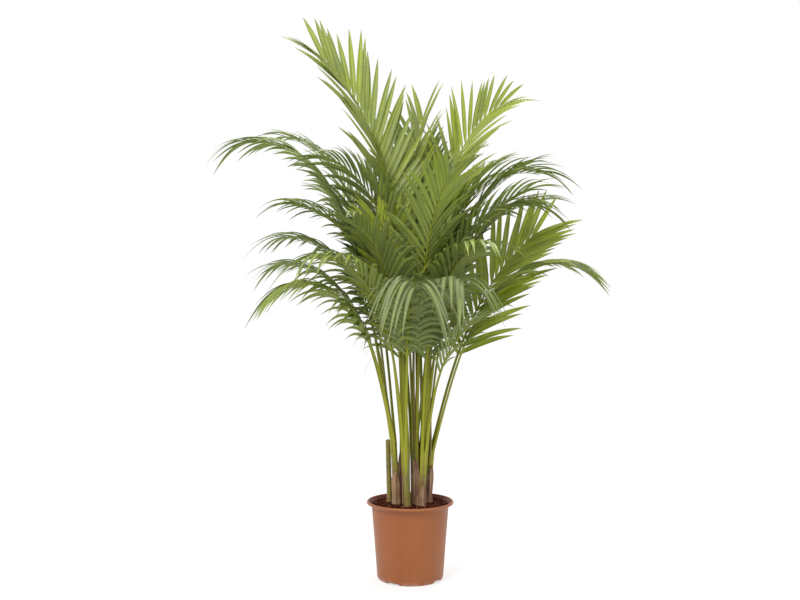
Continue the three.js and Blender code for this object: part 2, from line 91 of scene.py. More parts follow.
def blend(tree, share, a, b):
    # mixes two colours in a material
    a, b = (part if isinstance(part, bpy.types.NodeSocket) else (*part, 1) for part in (a, b))
    return put(tree, "ShaderNodeMix", {0: share, 6: a, 7: b}, data_type="RGBA").outputs[2]


def layered(tree, colour, *layers):
    # each layer is a share and the colour it lays over those before
    for share, over in layers:
        colour = blend(tree, share, colour, over)
    return colour


def ramp(tree, value, stops):
    node = put(tree, "ShaderNodeValToRGB", {"Fac": value})
    node.color_ramp.interpolation = "LINEAR"
    while len(node.color_ramp.elements) < len(stops):
        node.color_ramp.elements.new(0.5)
    for element, (place, colour) in zip(node.color_ramp.elements, stops):
        element.position = place
        element.color = (*colour, 1)
    return node.outputs["Color"]


def newMaterial(name, colour):
    material = bpy.data.materials.new(name)
    material.use_nodes = True
    material.diffuse_color = (*colour, 1)
    tree = material.node_tree
    tree.nodes.clear()
    return material, tree


def attribute(tree, name):
    return put(tree, "ShaderNodeAttribute", attribute_name=name).outputs["Fac"]


def objectNoise(tree, scale, stretch=(1, 1, 1), detail=3.0, roughness=0.55):
    place = put(tree, "ShaderNodeTexCoord").outputs["Object"]
    turned = take(tree, "ShaderNodeMapping", {"Vector": place, "Scale": stretch})
    values = {"Vector": turned, "Scale": scale, "Detail": detail, "Roughness": roughness}
    return put(tree, "ShaderNodeTexNoise", values).outputs["Fac"]


def spoke(angle):
    return Vector((math.cos(angle), math.sin(angle), 0))


def addObject(name, data):
    made = bpy.data.objects.new(name, data)
    scene.collection.objects.link(made)
    return made


def meshObject(name, points, faces, edges=()):
    mesh = bpy.data.meshes.new(name)
    mesh.from_pydata([tuple(p) for p in points], list(edges), faces)
    mesh.update()
    return addObject(name, mesh)


def smoothShade(piece, sharpAngle=None):
    piece.data.shade_smooth()
    if sharpAngle:
        piece.data.set_sharp_from_angle(angle=math.radians(sharpAngle))


def newTree(name, **inputs):
    # a geometry tree with named inputs, listed by kind; grow sets every one of them
    tree = bpy.data.node_groups.new(name, "GeometryNodeTree")
    tree.interface.new_socket("Geometry", in_out="INPUT", socket_type="NodeSocketGeometry")
    for kind, labels in inputs.items():
        for label in labels:
            tree.interface.new_socket(label, in_out="INPUT", socket_type="NodeSocket" + kind)
    tree.interface.new_socket("Geometry", in_out="OUTPUT", socket_type="NodeSocketGeometry")
    return tree


def store(tree, geometry, name, value, kind="FLOAT", domain="POINT"):
    return take(tree, "GeometryNodeStoreNamedAttribute", {"Geometry": geometry, "Name": name, "Value": value},
                data_type=kind, domain=domain)


def stored(tree, name, kind="FLOAT"):
    return put(tree, "GeometryNodeInputNamedAttribute", {"Name": name}, data_type=kind).outputs["Attribute"]


def coat(tree, geometry, material):
    return take(tree, "GeometryNodeSetMaterial", {"Geometry": geometry, "Material": material})


def split(tree, vector):
    return put(tree, "ShaderNodeSeparateXYZ", {0: vector}).outputs


def skinOf(tree, colour, roughness, normal, sheen=0.5, ior=1.5):
    return take(tree, "ShaderNodeBsdfPrincipled", {
        "Base Color": colour, "Roughness": roughness, "Normal": normal, "IOR": ior,
        "Specular IOR Level": sheen})


def cover(tree, shader, second=None, share=0.0):
    # ends a material with one shader, or with a share of a second one mixed in
    if second:
        shader = take(tree, "ShaderNodeMixShader", {0: share, 1: shader, 2: second})
    put(tree, "ShaderNodeOutputMaterial", {"Surface": shader})


def relief(tree, height, strength, depth):
    return take(tree, "ShaderNodeBump", {"Height": height, "Strength": strength, "Distance": depth})


def bake(source, name):
    # keeps what the source's modifiers make of it, as a plain mesh
    graph = bpy.context.evaluated_depsgraph_get()
    mesh = bpy.data.meshes.new_from_object(source.evaluated_get(graph), depsgraph=graph)
    mesh.name = name
    bpy.data.objects.remove(source)
    return addObject(name, mesh)


def grow(source, tree, sizes, name):
    # runs the tree on the source once
    modifier = source.modifiers.new("grow", "NODES")
    modifier.node_group = tree
    for item in tree.interface.items_tree:
        if item.in_out == "INPUT" and item.name in sizes:
            modifier[item.identifier] = sizes[item.name]
    return bake(source, name)


def standsFor(piece, node):
    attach(piece, "root")
    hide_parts(node)


# the finishes, each with its colours beside it

leafLook = {
    "shade": (0.075, 0.115, 0.042),
    "middle": (0.180, 0.240, 0.018),
    "fresh": (0.370, 0.440, 0.010),
    "midrib": (0.480, 0.520, 0.160),
    "margin": (0.360, 0.400, 0.140),
    "underside": (0.270, 0.330, 0.130),
    # painted sheen: grey-green laid over the upper side of the leaflets
    "paintedSheen": (0.340, 0.385, 0.250),
    "dryTip": (0.380, 0.270, 0.130),
    "throughShade": (0.190, 0.300, 0.014),
    "throughLight": (0.540, 0.650, 0.010),
    "roughTop": 0.38,
    "roughUnder": 0.56,
    "sheen": 0.30,
    "letThrough": 0.36,
    "veins": 26.0,
}


def leafMaterial():
    look = leafLook
    material, tree = newMaterial("leafBlade", look["middle"])
    along = attribute(tree, "bladeAlong")
    across = attribute(tree, "bladeAcross")
    tone = attribute(tree, "bladeTone")
    top = attribute(tree, "bladeTop")
    blotch = objectNoise(tree, 22.0, detail=2.0)
    fine = objectNoise(tree, 160.0, detail=3.0)
    shade = plus(tree, tone, remap(tree, blotch, 0.3, 0.7, -0.10, 0.10))
    shade = plus(tree, shade, remap(tree, fine, 0.3, 0.7, -0.04, 0.04))
    fromMiddle = calc(tree, "ABSOLUTE", across)
    stripes = calc(tree, "SINE", times(tree, across, look["veins"]))
    under = calc(tree, "SUBTRACT", 1.0, top)
    # a painted grey sheen on the upper side, standing in for the reflection of the white surroundings; more
    # of it on darker leaves
    paintedSheen = times(tree, top, remap(tree, shade, 0.2, 0.9, 0.42, 0.06))
    dry = times(tree, remap(tree, along, 0.90, 1.0), remap(tree, blotch, 0.45, 0.6, 0.0, 0.9))
    colour = layered(
        tree, ramp(tree, shade, [(0.0, look["shade"]), (0.5, look["middle"]), (1.0, look["fresh"])]),
        (remap(tree, stripes, -1, 1, 0.0, 0.14), look["midrib"]),
        (times(tree, under, 0.55), look["underside"]),
        (paintedSheen, look["paintedSheen"]),
        (remap(tree, fromMiddle, 0.05, 0.20, 0.85, 0.0, smooth=True), look["midrib"]),
        (remap(tree, fromMiddle, 0.88, 1.0, 0.0, 0.55, smooth=True), look["margin"]),
        (remap(tree, along, 0.0, 0.10, 0.55, 0.0, smooth=True), look["midrib"]),
        (dry, look["dryTip"]))
    roughness = plus(tree, remap(tree, top, 0, 1, look["roughUnder"], look["roughTop"]),
                     remap(tree, fine, 0.3, 0.7, -0.05, 0.06))
    height = plus(tree, times(tree, stripes, 0.5), fine)
    skin = skinOf(tree, colour, roughness, relief(tree, height, 0.25, 0.0004), look["sheen"], ior=1.45)
    lit = blend(tree, shade, look["throughShade"], look["throughLight"])
    cover(tree, skin, take(tree, "ShaderNodeBsdfTranslucent", {"Color": lit}), look["letThrough"])
    return material


stalkLook = {
    "base": (0.205, 0.215, 0.008),
    "upper": (0.165, 0.205, 0.014),
    "streak": (0.340, 0.335, 0.030),
    "groove": (0.080, 0.100, 0.008),
    "speck": (0.10, 0.075, 0.03),
    "sheen": 0.25,
}


def stalkMaterial():
    look = stalkLook
    material, tree = newMaterial("leafStalk", look["base"])
    along = attribute(tree, "stalkAlong")
    around = attribute(tree, "stalkAround")
    place = take(tree, "ShaderNodeCombineXYZ", {0: times(tree, around, 6.0), 1: times(tree, along, 7.0)})
    streak = put(tree, "ShaderNodeTexNoise", {"Vector": place, "Scale": 1.6, "Detail": 3.0}).outputs["Fac"]
    groove = remap(tree, calc(tree, "ABSOLUTE", around), 0.0, 0.16, 0.5, 0.0)
    speck = objectNoise(tree, 420.0, detail=2.0)
    colour = layered(
        tree, look["base"], (remap(tree, along, 0.1, 0.75), look["upper"]),
        (remap(tree, streak, 0.4, 0.75, 0.0, 0.7), look["streak"]),
        (groove, look["groove"]), (remap(tree, speck, 0.66, 0.72, 0.0, 0.45), look["speck"]))
    cover(tree, skinOf(tree, colour, remap(tree, streak, 0.3, 0.7, 0.36, 0.5),
                       relief(tree, streak, 0.3, 0.0005), look["sheen"]))
    return material


# olive and yellow of each kind of cane, and the marks that all of them have
caneLook = {
    "greenCane": ((0.125, 0.120, 0.014), (0.250, 0.225, 0.014)),
    "brownCane": ((0.115, 0.090, 0.018), (0.225, 0.185, 0.022)),
    # a darkened copy of the cane colours, painted shade for the canes inside and at the back of the clump
    "innerCane": ((0.050, 0.026, 0.008), (0.125, 0.098, 0.012)),
    "stain": (0.140, 0.060, 0.024),
    "foot": (0.190, 0.105, 0.045),
    "ring": (0.100, 0.064, 0.024),
}


def caneMaterial(name):
    look = caneLook
    olive, yellow = look[name]
    material, tree = newMaterial(name, yellow)
    streak = objectNoise(tree, 60.0, stretch=(1, 1, 0.07), detail=4.0)
    blotch = objectNoise(tree, 26.0, stretch=(1, 1, 0.45), detail=3.0)
    fine = objectNoise(tree, 240.0, stretch=(1, 1, 0.08), detail=3.0)
    height = attribute(tree, "caneAlong")
    ring = attribute(tree, "caneRing")
    colour = layered(
        tree, olive, (remap(tree, streak, 0.40, 0.60), yellow),
        (remap(tree, blotch, 0.52, 0.66, 0.0, 0.65), look["stain"]),
        (remap(tree, height, 0.0, 0.22, 0.55, 0.0, smooth=True), look["foot"]),
        (remap(tree, fine, 0.55, 0.75, 0.0, 0.35), look["ring"]),
        (times(tree, ring, 0.40), look["ring"]))
    cover(tree, skinOf(tree, colour, remap(tree, streak, 0.3, 0.7, 0.40, 0.58),
                       relief(tree, fine, 0.35, 0.0008)))
    return material


dryLook = {
    "tan": (0.285, 0.165, 0.078),
    "pink": (0.225, 0.098, 0.062),
    "pale": (0.440, 0.330, 0.205),
    "dark": (0.050, 0.014, 0.008),
    "letThrough": 0.12,
}


def dryMaterial():
    look = dryLook
    material, tree = newMaterial("drySheath", look["tan"])
    fibre = objectNoise(tree, 150.0, stretch=(1, 1, 0.05), detail=4.0)
    patch = objectNoise(tree, 34.0, stretch=(1, 1, 0.4), detail=3.0)
    colour = layered(
        tree, look["pink"], (remap(tree, patch, 0.35, 0.65), look["tan"]),
        (remap(tree, fibre, 0.5, 0.68, 0.0, 0.85), look["pale"]),
        (remap(tree, fibre, 0.32, 0.46, 0.85, 0.0), look["dark"]))
    skin = skinOf(tree, colour, remap(tree, patch, 0.3, 0.7, 0.62, 0.82), relief(tree, fibre, 0.6, 0.0012))
    cover(tree, skin, take(tree, "ShaderNodeBsdfTranslucent", {"Color": colour}), look["letThrough"])
    return material


potLook = {
    "plastic": (0.262, 0.076, 0.014),
    "worn": (0.290, 0.100, 0.028),
    "deep": (0.230, 0.062, 0.010),
    "chalk": (0.420, 0.270, 0.195),
    # the next two paint shade on the inner wall above the compost: its colour and its sheen
    "shadeInside": (0.080, 0.016, 0.008),
    "sheen": 0.5,
    "shadeInsideSheen": 0.06,
}


def potMaterial():
    look = potLook
    material, tree = newMaterial("terracottaPlastic", look["plastic"])
    cloud = objectNoise(tree, 11.0, stretch=(1, 1, 0.6), detail=4.0)
    grain = objectNoise(tree, 900.0, detail=2.0)
    flow = objectNoise(tree, 46.0, stretch=(1, 1, 0.10), detail=3.0)
    parts = split(tree, put(tree, "ShaderNodeTexCoord").outputs["Object"])
    flat = take(tree, "ShaderNodeCombineXYZ", {0: parts["X"], 1: parts["Y"]})
    reach = vectorCalc(tree, "LENGTH", flat)
    rim = remap(tree, parts["Z"], 0.1955, 0.199, 0.0, 0.35)
    scuff = times(tree, remap(tree, parts["Z"], 0.0, 0.012, 0.8, 0.0), remap(tree, flow, 0.42, 0.62))
    # painted shade: the wall above the compost is darkened inside and its sheen cut; past this radius it is
    # the undarkened outside
    lipInside = remap(tree, parts["Z"], 0.2005, 0.206, 0.1060, 0.1150)
    inside = remap(tree, calc(tree, "SUBTRACT", lipInside, reach), 0.0, 0.0006)
    inside = times(tree, inside, remap(tree, parts["Z"], 0.190, 0.195))
    inside = times(tree, inside, remap(tree, cloud, 0.3, 0.6, 0.85, 1.0))
    colour = layered(
        tree, look["deep"], (remap(tree, cloud, 0.35, 0.65), look["plastic"]),
        (remap(tree, flow, 0.5, 0.8, 0.0, 0.22), look["worn"]), (rim, look["worn"]),
        (scuff, look["chalk"]), (inside, look["shadeInside"]))
    height = plus(tree, times(tree, grain, 0.4), flow)
    sheen = remap(tree, inside, 0, 1, look["sheen"], look["shadeInsideSheen"])
    cover(tree, skinOf(tree, colour, remap(tree, cloud, 0.3, 0.7, 0.40, 0.52),
                       relief(tree, height, 0.12, 0.0006), sheen))
    return material


# dark colour, light colour and how fine the crumbs of each are
soilLook = {
    "compostDark": ((0.015, 0.003, 0.002), (0.050, 0.011, 0.006), 190.0),
    "compostLump": ((0.032, 0.006, 0.003), (0.090, 0.024, 0.012), 260.0),
    "barkChip": ((0.115, 0.036, 0.014), (0.280, 0.130, 0.055), 240.0),
}


def soilMaterial(name):
    dark, light, scale = soilLook[name]
    material, tree = newMaterial(name, dark)
    crumb = objectNoise(tree, scale, detail=5.0, roughness=0.65)
    grain = objectNoise(tree, scale * 5, detail=3.0)
    # bright specks at 2.2 times the light crumb colour: a painted highlight
    paintedGlint = tuple(2.2 * part for part in light)
    colour = layered(
        tree, dark, (remap(tree, crumb, 0.38, 0.68), light),
        (remap(tree, grain, 0.62, 0.74, 0.0, 0.5), paintedGlint))
    cover(tree, skinOf(tree, colour, remap(tree, grain, 0.3, 0.7, 0.75, 0.95),
                       relief(tree, crumb, 0.8, 0.002), 0.03))
    return material


leafBlade = leafMaterial()
leafStalk = stalkMaterial()
greenCane, brownCane, innerCane = (caneMaterial(name) for name in ("greenCane", "brownCane", "innerCane"))
drySheath = dryMaterial()
terracotta = potMaterial()
soilDark, soilLump, barkChip = (soilMaterial(name) for name in soilLook)
print("materials made:", len(bpy.data.materials))


# the pot: a lathed wall with a rolled lip, and slots cut through its foot

potSizes = {
    "height": 0.210,
    "rimRadius": 0.120,
    "rimBand": 0.0090,
    "wallTop": 0.107,
    "wallFoot": 0.091,
    "wall": 0.002,
    "base": 0.005,
    "footHollow": (0.034, 0.071),
    "hollowRise": 0.002,
    "sides": 160,
    "slotAngles": (237, 327, 57, 147),
    "slotSpan": 26,
    "slotHeight": 0.007,
    "slotCorner": 0.0025,
}


def innerRadius(z):
    s = potSizes
    return mix(s["wallFoot"], s["wallTop"], z / s["height"]) - s["wall"]


def roundedProfile(corners, cuts=4):
    # corners are (radius, height, rounding); each rounded corner becomes a short arc
    points = []
    for i, (r, z, rounding) in enumerate(corners):
        here = Vector((r, z))
        if rounding == 0 or i in (0, len(corners) - 1):
            points.append(here)
            continue
        before = (Vector(corners[i - 1][:2]) - here)
        after = (Vector(corners[i + 1][:2]) - here)
        start = here + before.normalized() * min(rounding, before.length * 0.45)
        end = here + after.normalized() * min(rounding, after.length * 0.45)
        for k in range(cuts + 1):
            t = k / cuts
            points.append(start.lerp(here, t).lerp(here.lerp(end, t), t))
    return points


def lathe(name, profile, sides):
    # the profile starts and ends on the axis
    points = [Vector((0, 0, profile[0].y)), Vector((0, 0, profile[-1].y))]
    faces = []
    rows = len(profile) - 2
    for p in profile[1:-1]:
        for i in range(sides):
            angle = 2 * math.pi * i / sides
            points.append(Vector((p.x * math.cos(angle), p.x * math.sin(angle), p.y)))
    for i in range(sides):
        j = (i + 1) % sides
        faces.append((0, 2 + j, 2 + i))
        faces.append((1, 2 + (rows - 1) * sides + i, 2 + (rows - 1) * sides + j))
        for r in range(rows - 1):
            a = 2 + r * sides
            faces.append((a + i, a + j, a + sides + j, a + sides + i))
    return meshObject(name, points, faces)


def slotCutter(angle):
    # a wedge with rounded top corners, for one drainage slot
    s = potSizes
    half = math.radians(s["slotSpan"] / 2)
    corner = s["slotCorner"]
    outline = [(-half, -0.005)]
    for side, turns in ((-1, (90, 60, 30, 0)), (1, (0, 30, 60, 90))):
        for turn in turns:
            t = math.radians(turn)
            outline.append((side * (half - corner / s["wallFoot"] * (1 - math.sin(t))),
                            s["slotHeight"] - corner * (1 - math.cos(t))))
    outline.append((half, -0.005))
    points = []
    for reach in (s["wallFoot"] - 0.014, s["wallFoot"] + 0.008):
        for a, z in outline:
            turn = math.radians(angle) + a
            points.append((reach * math.cos(turn), reach * math.sin(turn), z))
    n = len(outline)
    faces = [tuple(range(n)), tuple(range(2 * n - 1, n - 1, -1))]
    for i in range(n):
        j = (i + 1) % n
        faces.append((i, n + i, n + j, j))
    return meshObject("slotCutter", points, faces)


def potCorners():
    # half the pot's section, as (radius, height, rounding)
    s = potSizes
    top, band, rim, wallTop = s["height"], s["rimBand"], s["rimRadius"], s["wallTop"]
    (padStart, padEnd), rise, small = s["footHollow"], s["hollowRise"], 0.001
    underside = [
        (0, 0, 0), (padStart, 0, small), (padStart + 0.003, rise, small), (padEnd - 0.003, rise, small),
        (padEnd, 0, small), (s["wallFoot"] - 0.0045, 0, 0.0015), (s["wallFoot"] - 0.0003, 0.0042, 0.003)]
    outside = [
        (mix(s["wallFoot"], wallTop, 0.86) + 0.0002, top * 0.868, 0.004),
        (wallTop - 0.0004, top - band - 0.0045, 0.003), (wallTop + 0.0030, top - band - 0.0015, 0.002)]
    lip = [
        (rim - 0.0022, top - band + 0.0010, 0.0015), (rim, top - band + 0.0035, 0.002),
        (rim - 0.0002, top - 0.0025, 0.002), (rim - 0.0028, top, 0.002),
        (rim - 0.0055, top - 0.0008, 0.0015), (wallTop + 0.0035, top - 0.004, 0.002)]
    inside = [
        (innerRadius(top - 0.0085), top - 0.0085, 0.003), (innerRadius(0.012), 0.012, 0.003),
        (innerRadius(0.010) - 0.006, s["base"], 0.003), (0, s["base"], 0)]
    return underside + outside + lip + inside


def makePot(name):
    s = potSizes
    body = lathe("potBody", roundedProfile(potCorners()), s["sides"])
    cutters = [slotCutter(angle) for angle in s["slotAngles"]]
    for cutter in cutters:
        cut = body.modifiers.new("slot", "BOOLEAN")
        cut.operation = "DIFFERENCE"
        cut.solver = "EXACT"
        cut.object = cutter
    piece = bake(body, name)
    for cutter in cutters:
        bpy.data.objects.remove(cutter)
    piece.data.materials.clear()
    piece.data.materials.append(terracotta)
    smoothShade(piece, 32)
    return piece


# CAD nodes keep their names, so each replacement has a name of its own
potPiece = makePot("nurseryPot")
standsFor(potPiece, "pot")
print("pot:", len(potPiece.data.polygons), "faces")


# the compost: one block with a lumpy top, strewn with crumbs and bark

soilSizes = {
    "floor": 0.0053,
    "edgeLevel": 0.1975,
    "mound": 0.0035,
    "clearance": 0.0006,
    "rings": 34,
    "sides": 96,
    "roughness": 0.0016,
    "lumps": 26000.0,
    "chips": 5200.0,
    "lumpSize": 0.0022,
    "chipLength": 0.0045,
    "bareEdge": 0.004,
    "seed": 5,
}


def soilLevel(x, y):
    s = soilSizes
    reach = min(1.0, math.hypot(x, y) / innerRadius(s["edgeLevel"]))
    level = s["edgeLevel"] + s["mound"] * (1 - reach ** 3)
    level += s["roughness"] * 1.2 * noise.noise(Vector((x * 45, y * 45, 2.0)))
    level += s["roughness"] * 0.9 * noise.noise(Vector((x * 150, y * 150, 7.0)))
    return level


def soilBlock():
    s = soilSizes
    edge = innerRadius(s["edgeLevel"]) - s["clearance"]
    points, faces = [Vector((0, 0, soilLevel(0, 0)))], []
    for ring in range(1, s["rings"] + 1):
        r = edge * ring / s["rings"]
        for i in range(s["sides"]):
            angle = 2 * math.pi * (i + 0.5 * (ring % 2)) / s["sides"]
            x, y = r * math.cos(angle), r * math.sin(angle)
            points.append(Vector((x, y, soilLevel(x, y))))
    below = [(innerRadius(0.012) - s["clearance"], 0.012), (innerRadius(0.010) - 0.007, s["floor"])]
    for r, z in below:
        for i in range(s["sides"]):
            angle = 2 * math.pi * (i + 0.5 * (s["rings"] % 2)) / s["sides"]
            points.append(Vector((r * math.cos(angle), r * math.sin(angle), z)))
    points.append(Vector((0, 0, s["floor"])))
    rows, n = s["rings"] + len(below), s["sides"]
    for i in range(n):
        faces.append((0, 1 + i, 1 + (i + 1) % n))
        last = 1 + (rows - 1) * n
        faces.append((len(points) - 1, last + (i + 1) % n, last + i))
    for r in range(rows - 1):
        a, b = 1 + r * n, 1 + (r + 1) * n
        # rings are staggered by half a step, so the quads lean one way and then the other
        shift = 1 if r + 1 < s["rings"] and (r + 1) % 2 else 0
        for i in range(n):
            j = (i + 1) % n
            if r + 1 >= s["rings"]:
                faces.append((a + i, b + i, b + j, a + j))
            elif shift:
                faces.append((a + i, b + i, a + j))
                faces.append((a + j, b + i, b + j))
            else:
                faces.append((a + i, b + i, b + j))
                faces.append((a + i, b + j, a + j))
    return meshObject("soilBlock", points, faces)


def crumbTree():
    # scatters crumbs and bark chips over the upward faces
    tree = newTree("compostCrumbs", Int=("Seed",), Material=("Soil", "Lump", "Chip"),
                   Float=("Lumps", "Chips", "Lump Size", "Chip Length", "Edge"))
    given = tree.nodes.new("NodeGroupInput").outputs
    up = split(tree, take(tree, "GeometryNodeInputNormal"))["Z"]
    place = split(tree, take(tree, "GeometryNodeInputPosition"))
    flat = take(tree, "ShaderNodeCombineXYZ", {0: place["X"], 1: place["Y"]})
    within = calc(tree, "LESS_THAN", vectorCalc(tree, "LENGTH", flat), given["Edge"])
    chosen = times(tree, calc(tree, "GREATER_THAN", up, 0.6), within)
    joined = put(tree, "GeometryNodeJoinGeometry")
    tree.links.new(coat(tree, given["Geometry"], given["Soil"]), joined.inputs[0])
    kinds = (
        ("Lumps", "Lump Size", "Lump", (0.45, 0.45, 0.4), (1.5, 1.4, 1.0), 0),
        ("Chips", "Chip Length", "Chip", (0.6, 0.25, 0.10), (1.3, 0.5, 0.25), 11))
    for amount, size, finish, small, large, extra in kinds:
        seed = plus(tree, given["Seed"], extra)
        spots = put(tree, "GeometryNodeDistributePointsOnFaces", {
            "Mesh": given["Geometry"], "Selection": chosen, "Density": given[amount], "Seed": seed})
        grain = take(tree, "GeometryNodeMeshIcoSphere", {"Radius": given[size], "Subdivisions": 1})
        grain = coat(tree, grain, given[finish])
        turn = take(tree, "FunctionNodeRandomValue", {
            0: (-0.5, -0.5, 0.0), 1: (0.5, 0.5, 6.28), "Seed": seed}, data_type="FLOAT_VECTOR")
        scale = take(tree, "FunctionNodeRandomValue", {
            0: small, 1: large, "Seed": plus(tree, seed, 3)}, data_type="FLOAT_VECTOR")
        strewn = take(tree, "GeometryNodeInstanceOnPoints", {
            "Points": spots.outputs["Points"], "Instance": grain, "Rotation": turn, "Scale": scale})
        strewn = take(tree, "GeometryNodeRealizeInstances", {"Geometry": strewn})
        tree.links.new(strewn, joined.inputs[0])
    put(tree, "NodeGroupOutput", {0: take(tree, "GeometryNodeRealizeInstances", {
        "Geometry": joined.outputs[0]})})
    return tree


compostPiece = grow(soilBlock(), crumbTree(), {
    "Lumps": soilSizes["lumps"], "Chips": soilSizes["chips"], "Seed": soilSizes["seed"],
    "Lump Size": soilSizes["lumpSize"], "Chip Length": soilSizes["chipLength"],
    "Edge": innerRadius(soilSizes["edgeLevel"]) - soilSizes["bareEdge"],
    "Soil": soilDark, "Lump": soilLump, "Chip": barkChip}, "compostFill")
smoothShade(compostPiece, 50)
standsFor(compostPiece, "compost")
print("compost:", len(compostPiece.data.polygons), "faces")


# the canes, each from its foot in the compost (x, y) to its top (x, y, z), with a radius at each end

canes = {
    "stub_left": {"foot": (-0.057, 0.030), "top": (-0.062, 0.038, 0.371), "radii": (0.0078, 0.0065)},
    "left": {"foot": (-0.037, 0.000), "top": (-0.046, -0.002, 0.378), "radii": (0.0095, 0.0085)},
    "front": {"foot": (-0.008, -0.035), "top": (-0.011, -0.043, 0.352), "radii": (0.0090, 0.0085)},
    "centre": {"foot": (0.016, -0.004), "top": (0.015, 0.002, 0.366), "radii": (0.0095, 0.0085)},
    "front_right": {"foot": (0.031, -0.027), "top": (0.037, -0.036, 0.340), "radii": (0.0085, 0.0080)},
    "right": {"foot": (0.050, 0.022), "top": (0.058, 0.024, 0.340), "radii": (0.0085, 0.0085)},
    "middle_left": {"foot": (-0.025, 0.025), "top": (-0.019, 0.027, 0.392), "radii": (0.0090, 0.0085)},
    "back": {"foot": (0.011, 0.046), "top": (0.009, 0.054, 0.384), "radii": (0.0085, 0.0085)},
    "back_left": {"foot": (-0.037, 0.052), "top": (-0.046, 0.060, 0.360), "radii": (0.0085, 0.0085)},
    "back_right": {"foot": (0.037, 0.052), "top": (0.042, 0.062, 0.372), "radii": (0.0085, 0.0085)},
    "inner_left": {"foot": (-0.011, -0.003), "top": (-0.015, -0.008, 0.335), "radii": (0.0075, 0.0075)},
    "inner_right": {"foot": (0.036, 0.004), "top": (0.040, 0.002, 0.330), "radii": (0.0075, 0.0075)},
    "inner_back": {"foot": (0.024, 0.025), "top": (0.027, 0.024, 0.350), "radii": (0.0075, 0.0075)},
}

caneSizes = {
    "footLevel": 0.202,
    "buried": 0.020,
    "sides": 18,
    "step": 0.0025,
    "ringGap": 0.043,
    "ringHeight": 0.0006,
    "footSwell": 0.0022,
    "crown": 0.010,
    "cutCrown": 0.0015,
}


def caneTree():
    tree = newTree("cane", Int=("Sides",), Material=("Cane",), Float=(
        "Foot Radius", "Top Radius", "Length", "Buried", "Crown", "Ring Gap", "Ring Height", "Foot Swell",
        "First Ring", "Step"))
    given = tree.nodes.new("NodeGroupInput").outputs
    line = take(tree, "GeometryNodeMeshToCurve", {"Mesh": given["Geometry"]})
    line = take(tree, "GeometryNodeResampleCurve", {"Curve": line, "Length": given["Step"]}, mode="LENGTH")
    reach = put(tree, "GeometryNodeSplineParameter").outputs["Length"]
    above = calc(tree, "SUBTRACT", reach, given["Buried"])
    share = calc(tree, "DIVIDE", above, given["Length"])
    radius = remap(tree, share, 0.0, 1.0, given["Foot Radius"], given["Top Radius"])
    # old leaf scars: low rings at even gaps up to where the green begins
    fromRing = calc(tree, "WRAP", calc(tree, "SUBTRACT", above, given["First Ring"]), given["Ring Gap"], 0.0)
    fromRing = calc(tree, "MINIMUM", fromRing, calc(tree, "SUBTRACT", given["Ring Gap"], fromRing))
    ring = remap(tree, fromRing, 0.0, 0.0032, 1.0, 0.0, smooth=True)
    ring = times(tree, ring, calc(tree, "LESS_THAN", share, 0.72))
    swell = remap(tree, share, -0.10, 0.13, 1.0, 0.0, smooth=True)
    radius = plus(tree, radius, times(tree, ring, given["Ring Height"]))
    radius = plus(tree, radius, times(tree, swell, given["Foot Swell"]))
    # the last stretch closes in a soft dome between the leaf stalks
    past = calc(tree, "DIVIDE", calc(tree, "SUBTRACT", above, given["Length"]), given["Crown"])
    past = calc(tree, "MINIMUM", calc(tree, "MAXIMUM", past, 0.0), 0.995)
    dome = calc(tree, "SQRT", calc(tree, "SUBTRACT", 1.0, times(tree, past, past)))
    radius = times(tree, radius, dome)
    line = store(tree, line, "caneAlong", share)
    line = store(tree, line, "caneRing", ring)
    section = take(tree, "GeometryNodeCurvePrimitiveCircle", {"Resolution": given["Sides"], "Radius": 1.0})
    body = take(tree, "GeometryNodeCurveToMesh", {
        "Curve": line, "Profile Curve": section, "Scale": radius, "Fill Caps": True})
    body = take(tree, "GeometryNodeRealizeInstances", {"Geometry": body})
    put(tree, "NodeGroupOutput", {0: coat(tree, body, given["Cane"])})
    return tree


def caneAxis(name):
    cane = canes[name]
    foot = Vector((*cane["foot"], caneSizes["footLevel"]))
    top = Vector(cane["top"])
    return foot, top, (top - foot).normalized()


def makeCane(name, tree, number):
    s = caneSizes
    foot, top, along = caneAxis(name)
    node, stub = "cane_" + name, name == "stub_left"
    # canes inside and at the back take the darkened cane colours as painted shade
    hidden = "inner" in name or "back" in name
    crown = s["cutCrown"] if stub else s["crown"]
    line = meshObject("line", [foot - along * s["buried"], foot, top, top + along * crown], [],
                      [(0, 1), (1, 2), (2, 3)])
    piece = grow(line, tree, {
        "Foot Radius": canes[name]["radii"][0], "Top Radius": canes[name]["radii"][1],
        "Length": (top - foot).length, "Buried": s["buried"], "Crown": crown,
        "Ring Gap": s["ringGap"] * (1 + 0.08 * (number % 4)), "Ring Height": s["ringHeight"],
        "Foot Swell": s["footSwell"], "First Ring": 0.009 + 0.007 * (number % 5),
        "Sides": s["sides"], "Step": s["step"],
        "Cane": brownCane if stub else innerCane if hidden else greenCane}, node + "_stem")
    smoothShade(piece, 60)
    standsFor(piece, node)


caneBuilder = caneTree()
for number, name in enumerate(canes):
    makeCane(name, caneBuilder, number)
print("canes:", len(canes))


# dry leaf bases wrapped round the canes: heights, then the angle they face and the angle they span

dryBases = [
    {"cane": "left", "to": 0.291, "middle": 262, "span": 240},
    {"cane": "centre", "to": 0.322, "middle": 265, "span": 240},
    {"cane": "right", "to": 0.299, "middle": 290, "span": 230},
    {"cane": "front_right", "to": 0.262, "middle": 280, "span": 210},
    {"cane": "middle_left", "to": 0.345, "middle": 250, "span": 250},
    {"cane": "inner_left", "to": 0.303, "middle": 275, "span": 220},
]

dryBaseSizes = {
    "from": 0.199,
    "rows": 28,
    "columns": 26,
    "thickness": 0.0008,
    "lift": 0.0012,
    "flare": 0.0045,
    "ragged": 0.018,
    "tipHalf": 13,
    "looseEdge": 0.0024,
    "crease": 0.0007,
}


